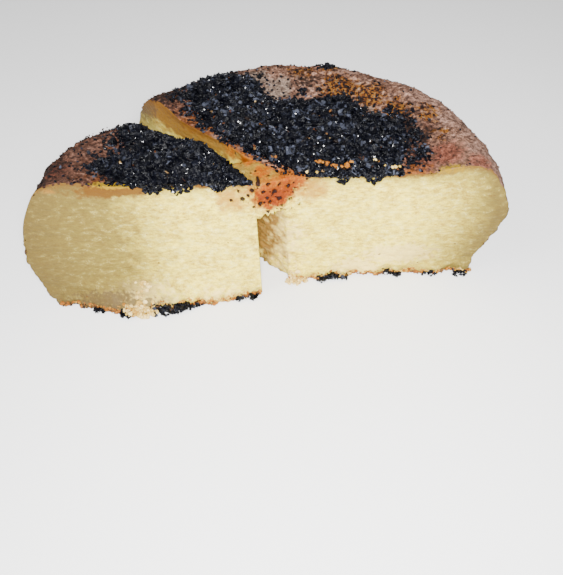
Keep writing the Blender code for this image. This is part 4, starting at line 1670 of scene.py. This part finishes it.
PATCHES = patches({
    Tone.STAIN: (
        (-1, -4, 57.5, 19, 1.15, (1.15, 1, 0.9)), (6, -1, 63, 14, 1.1), (-10, -6, 60, 13, 0.7),
        (-6, 4, 65, 10, 0.95), (-12, 12, 66, 9, 0.9), (-19, 18, 66, 8, 0.85), (-26, 25, 66, 7, 0.7),
        (-14, 14, 61, 11, 0.9), (-21, 21, 62, 9, 0.7),
    ),
    Tone.PINK: (
        (15, -1, 57, 13, 0.9), (-20, -5, 57, 13, 0.9), (-97, -4, 66, 9, 0.5, (1.6, 1, 0.3)),
    ),
    Tone.BAND: (
        (-68, -4.5, 65, 14, 1.2, (2.3, 1, 0.42)), (-38, -4.5, 66, 12, 0.9, (2.4, 1, 0.35)),
        (50, -2, 64.5, 12, 0.8, (3.4, 1, 0.3)), (-38, 38, 66, 9, 1, (2.4, 2.4, 1)),
    ),
    Tone.YELLOW: (
        (-68, -3.4, 68, 11, 1.8, (1.25, 0.4, 0.35)), (72, -1.5, 66, 12, 0.8, (1.3, 0.35, 0.3)),
    ),
    Tone.GOLD: (
        (-40, 40, 65, 20, 1.6, (2.9, 2.9, 0.9)), (-8, 12, 25, 32, 0.85, (1, 1, 1.8)),
    ),
    Tone.OCHRE: (
        (33, 62, 67, 17, 1.2), (46, 54, 67, 14, 1.2), (57, 42, 67, 15, 1.2), (70, 38, 67, 12, 0.9),
        (74, 24, 67, 10, 0.7), (-47, 62, 67, 12, 0.9), (14, 76, 67, 12, 0.9), (30, 78, 67, 10, 0.8),
    ),
    Tone.MOULD: (
        (-8, 72, 67, 11, 1.3), (2, 64, 67, 13, 1.4), (38, 61, 67, 7, 0.8), (45, 47, 67, 6, 0.9),
        (-32, 46, 66, 9, 1),
    ),
    Tone.GREY: (
        (80, 45, 60, 42, 1.2), (93, 10, 60, 22, 1.1), (45, 80, 62, 26, 0.9), (-84, 18, 64, 14, 0.7),
    ),
    Tone.RED: (
        (62, 5, 66, 12, 1.1), (74, 9, 66, 13, 1.1), (86, 1, 66, 10, 1), (-30, 80, 66, 18, 1),
        (20, 88, 66, 18, 0.7), (-95, 6, 64, 14, 0.8),
    ),
    # The patches at x -106 and -88 darken the wedge's rind towards its left and back as painted shade; the
    # others are dark patches of the rind itself
    Tone.DARK: (
        (58, 34, 66, 12, 1.1), (62, 23, 66, 12, 1.1), (62, 11, 66, 10, 0.9), (-52, 58, 66, 12, 0.9),
        (-36, 68, 66, 11, 0.8), (16, 68, 66, 12, 0.8), (-106, 8, 54, 30, 1.5, (0.9, 1.9, 1)),
        (-88, 42, 62, 16, 0.8, (1.2, 1.2, 1)),
    ),
    # Painted shade on the rind, over the wedge, the back left, the right and the far back of the large
    # slice
    Tone.PAINTED_RIND_SHADE: (
        (-88, 28, 50, 98, 1.4), (-48, 74, 55, 60, 1.4), (60, 22, 66, 28, 0.9), (0, 96, 66, 34, 0.7),
    ),
    # Painted shade on the paste, darker towards the far left of the wedge and the far right of the large
    # slice
    Tone.PAINTED_SHADE: (
        (-118, -8, 34, 108, 1.25, (1, 1, 1.4)), (127, -3, 32, 68, 1.05, (1, 1, 1.4)),
    ),
    Tone.FOOT: (
        (-84, -13, 4, 19, 1.2, (1.3, 1, 0.38)), (-67, 64, 64, 19, 2.6, (1, 1, 0.7)),
        (-66, -18, 3, 13, 0.9, (1.3, 1, 0.3)),
    ),
    # Cracks drawn as thin dark lines: painted shade inside them
    Tone.CRACK: (
        (-59, -9, 17.6, 3.4, 1, (1.3, 2, 0.16)), (94, -2.3, 51, 2.2, 1, (1.2, 2, 0.22)),
        (20, -1, 7.5, 12, 0.7, (1.4, 1, 0.05)),
    ),
})
# The dark spots of the pits: painted shade inside them
PATCHES += tuple(
    Patch(Tone.PIT, (x, PIT_FRONT, z), PIT_SPOT + PIT_VARIETY * (k * 7 % 8), PIT_DARKNESS, PIT_STRETCH)
    for k, (x, z) in enumerate(PITS)
)
MAIN_STRAYS = (
    (28, 81.5, 4.4), (28, 81.5, 3.6), (28.5, 81.5, 3), (58, 34, 5.5), (61, 23, 6), (64, 12, 4.5),
    (59, 5, 3.6), (55, 42, 3), (14, 61, 3), (-45, 58, 5), (-40, 48, 4), (-32, 38, 3.5),
)
WEDGE_STRAYS = ((-77, 10, 3), (-78, 8, 2.4), (-74, 27, 2.6), (-70, 3, 2.6), (-72, 20, 3))
MAIN_BITS = (
    (17, 4.9, 2, 0.58), (18.6, 4.4, 2.8, 0.63), (19.9, 3.4, 2.2, 0.6), (21.5, 3, 3, 0.64),
    (23.6, 2.4, 2.4, 0.58), (25.4, 2.3, 3, 0.63), (27.5, 2, 2.6, 0.6), (29.8, 2.1, 3.1, 0.62),
    (31.9, 2.5, 2.2, 0.57), (13, 0.4, 2.4, 0.2), (14.2, 1.2, 1.5, 0.4), (17, -0.4, 1.7, 0.3),
    (42, 4, 2.2, 0.1), (43.4, 3.4, 1.4, 0.5), (46, 1.5, 1.3, 0.3), (49, 0.5, 2.2, 0.2),
    (50.4, 1, 2.9, 0.25), (52.3, 1.4, 2, 0.3), (-2, 11, 2.8, 0.78), (0, 10.2, 2.2, 0.7),
    (23, 23, 2, 0.8), (26, 40, 2.4, 0.75), (-6, 30, 1.6, 0.7),
)
MAIN_FLAKY = patches({
    Tone.FLAKY: (
        (38, -1, 6, 17, 1.1, (1.3, 1, 0.7)), (58, -1.5, 14, 20, 1.2, (1.5, 1, 0.6)),
        (-4, 8, 25, 26, 1.1, (1, 1, 1.6)),
    ),
})
WEDGE_FLAKY = patches({
    Tone.FLAKY: (
        (-68, -12, 5, 20, 1, (1.4, 1, 0.7)), (-30, -12, 3, 16, 0.7, (1.6, 1, 0.5)),
    ),
})


MAIN_CLUMPS = (
    (3, 3.2), (6.5, 2.3), (17, 2.7), (22, 3), (27, 2.3), (50, 2.7), (54.5, 2), (71, 2.4), (86, 2.7),
)
WEDGE_CLUMPS = (
    (5, 2.4), (11, 2.2), (31.5, 2.2), (36.5, 2.9), (41.5, 3.3), (46.5, 3.9), (51.5, 3.4), (56.5, 3.7),
    (61, 4.4), (66, 2.7), (80, 2.2),
)


def main() -> None:
    """Build every piece, dress it and set up the studio."""
    logging.basicConfig(level=logging.INFO, format="%(message)s")
    effects = Effects()
    paste, rind, marc, crumb = (
        finish.material(effects) for finish in (PasteFinish(), RindFinish(), MarcFinish(), CrumbFinish())
    )
    for name, node, form, steps, flaky in (
        ("main_slice", "cheese_main", MAIN_FORM, (130, 220, 90), MAIN_FLAKY),
        ("wedge_slice", "cheese_wedge", WEDGE_FORM, (150, 80, 100), WEDGE_FLAKY),
    ):
        CheeseSlice(name, node, form, steps, PATCHES, flaky).build([paste, rind])
    StainedBridge().build([paste], PATCHES)
    skins = Sprinkle("grape_skins", Shape.SKIN, 21)
    grains = Sprinkle("grape_grains", Shape.GRAIN, 22)
    seeds = Sprinkle("grape_seeds", Shape.SEED, 23)
    stems = Sprinkle("grape_stems", Shape.STEM, 24)
    crumbs = Sprinkle("paste_crumbs", Shape.GRAIN, 25)
    flecks = Sprinkle("rind_flecks", Shape.GRAIN, 26)
    main_layer = MarcLayer(
        "main_crust", "marc_main", MAIN_FORM, 3.0, 4.2, 11, (10.0, 50.0), 6800,
        strays=MAIN_STRAYS, bits=MAIN_BITS,
    )
    wedge_layer = MarcLayer(
        "wedge_crust", "marc_wedge", WEDGE_FORM, 3.6, 8.0, 12, (1.0, 51.0), 3100,
        strays=WEDGE_STRAYS, heap=(-30.0, 9.0, 12.0, 5.5), tint_to=0.8,
    )
    for layer in (main_layer, wedge_layer):
        layer.crust(marc)
        layer.scatter(skins, grains, seeds, stems)
        layer.mix_in(crumbs)
    for foot in (
        Foot(MAIN_FORM, MAIN_CLUMPS, 92.0, 420, (0.0, 5.0, 5.0), 31, (3.0, 6.5)),
        Foot(WEDGE_FORM, WEDGE_CLUMPS, 100.0, 520, (53.0, 61.0, 12.0), 32, (56.5, 61.0), 66.0),
    ):
        foot.scatter(skins, grains, crumbs)
    Bloom(MAIN_FORM, 2800, 2000, 41).scatter(flecks, grains)
    Bloom(WEDGE_FORM, 1000, 800, 42).scatter(flecks, grains)
    for sprinkle in (skins, grains, seeds, stems):
        sprinkle.build(marc, "marc")
    crumbs.build(crumb, "paste")
    paint(flecks.build(rind, "paste", tilt=0.5), PATCHES)
    Studio().build()


if __name__ == "__main__":
    main()
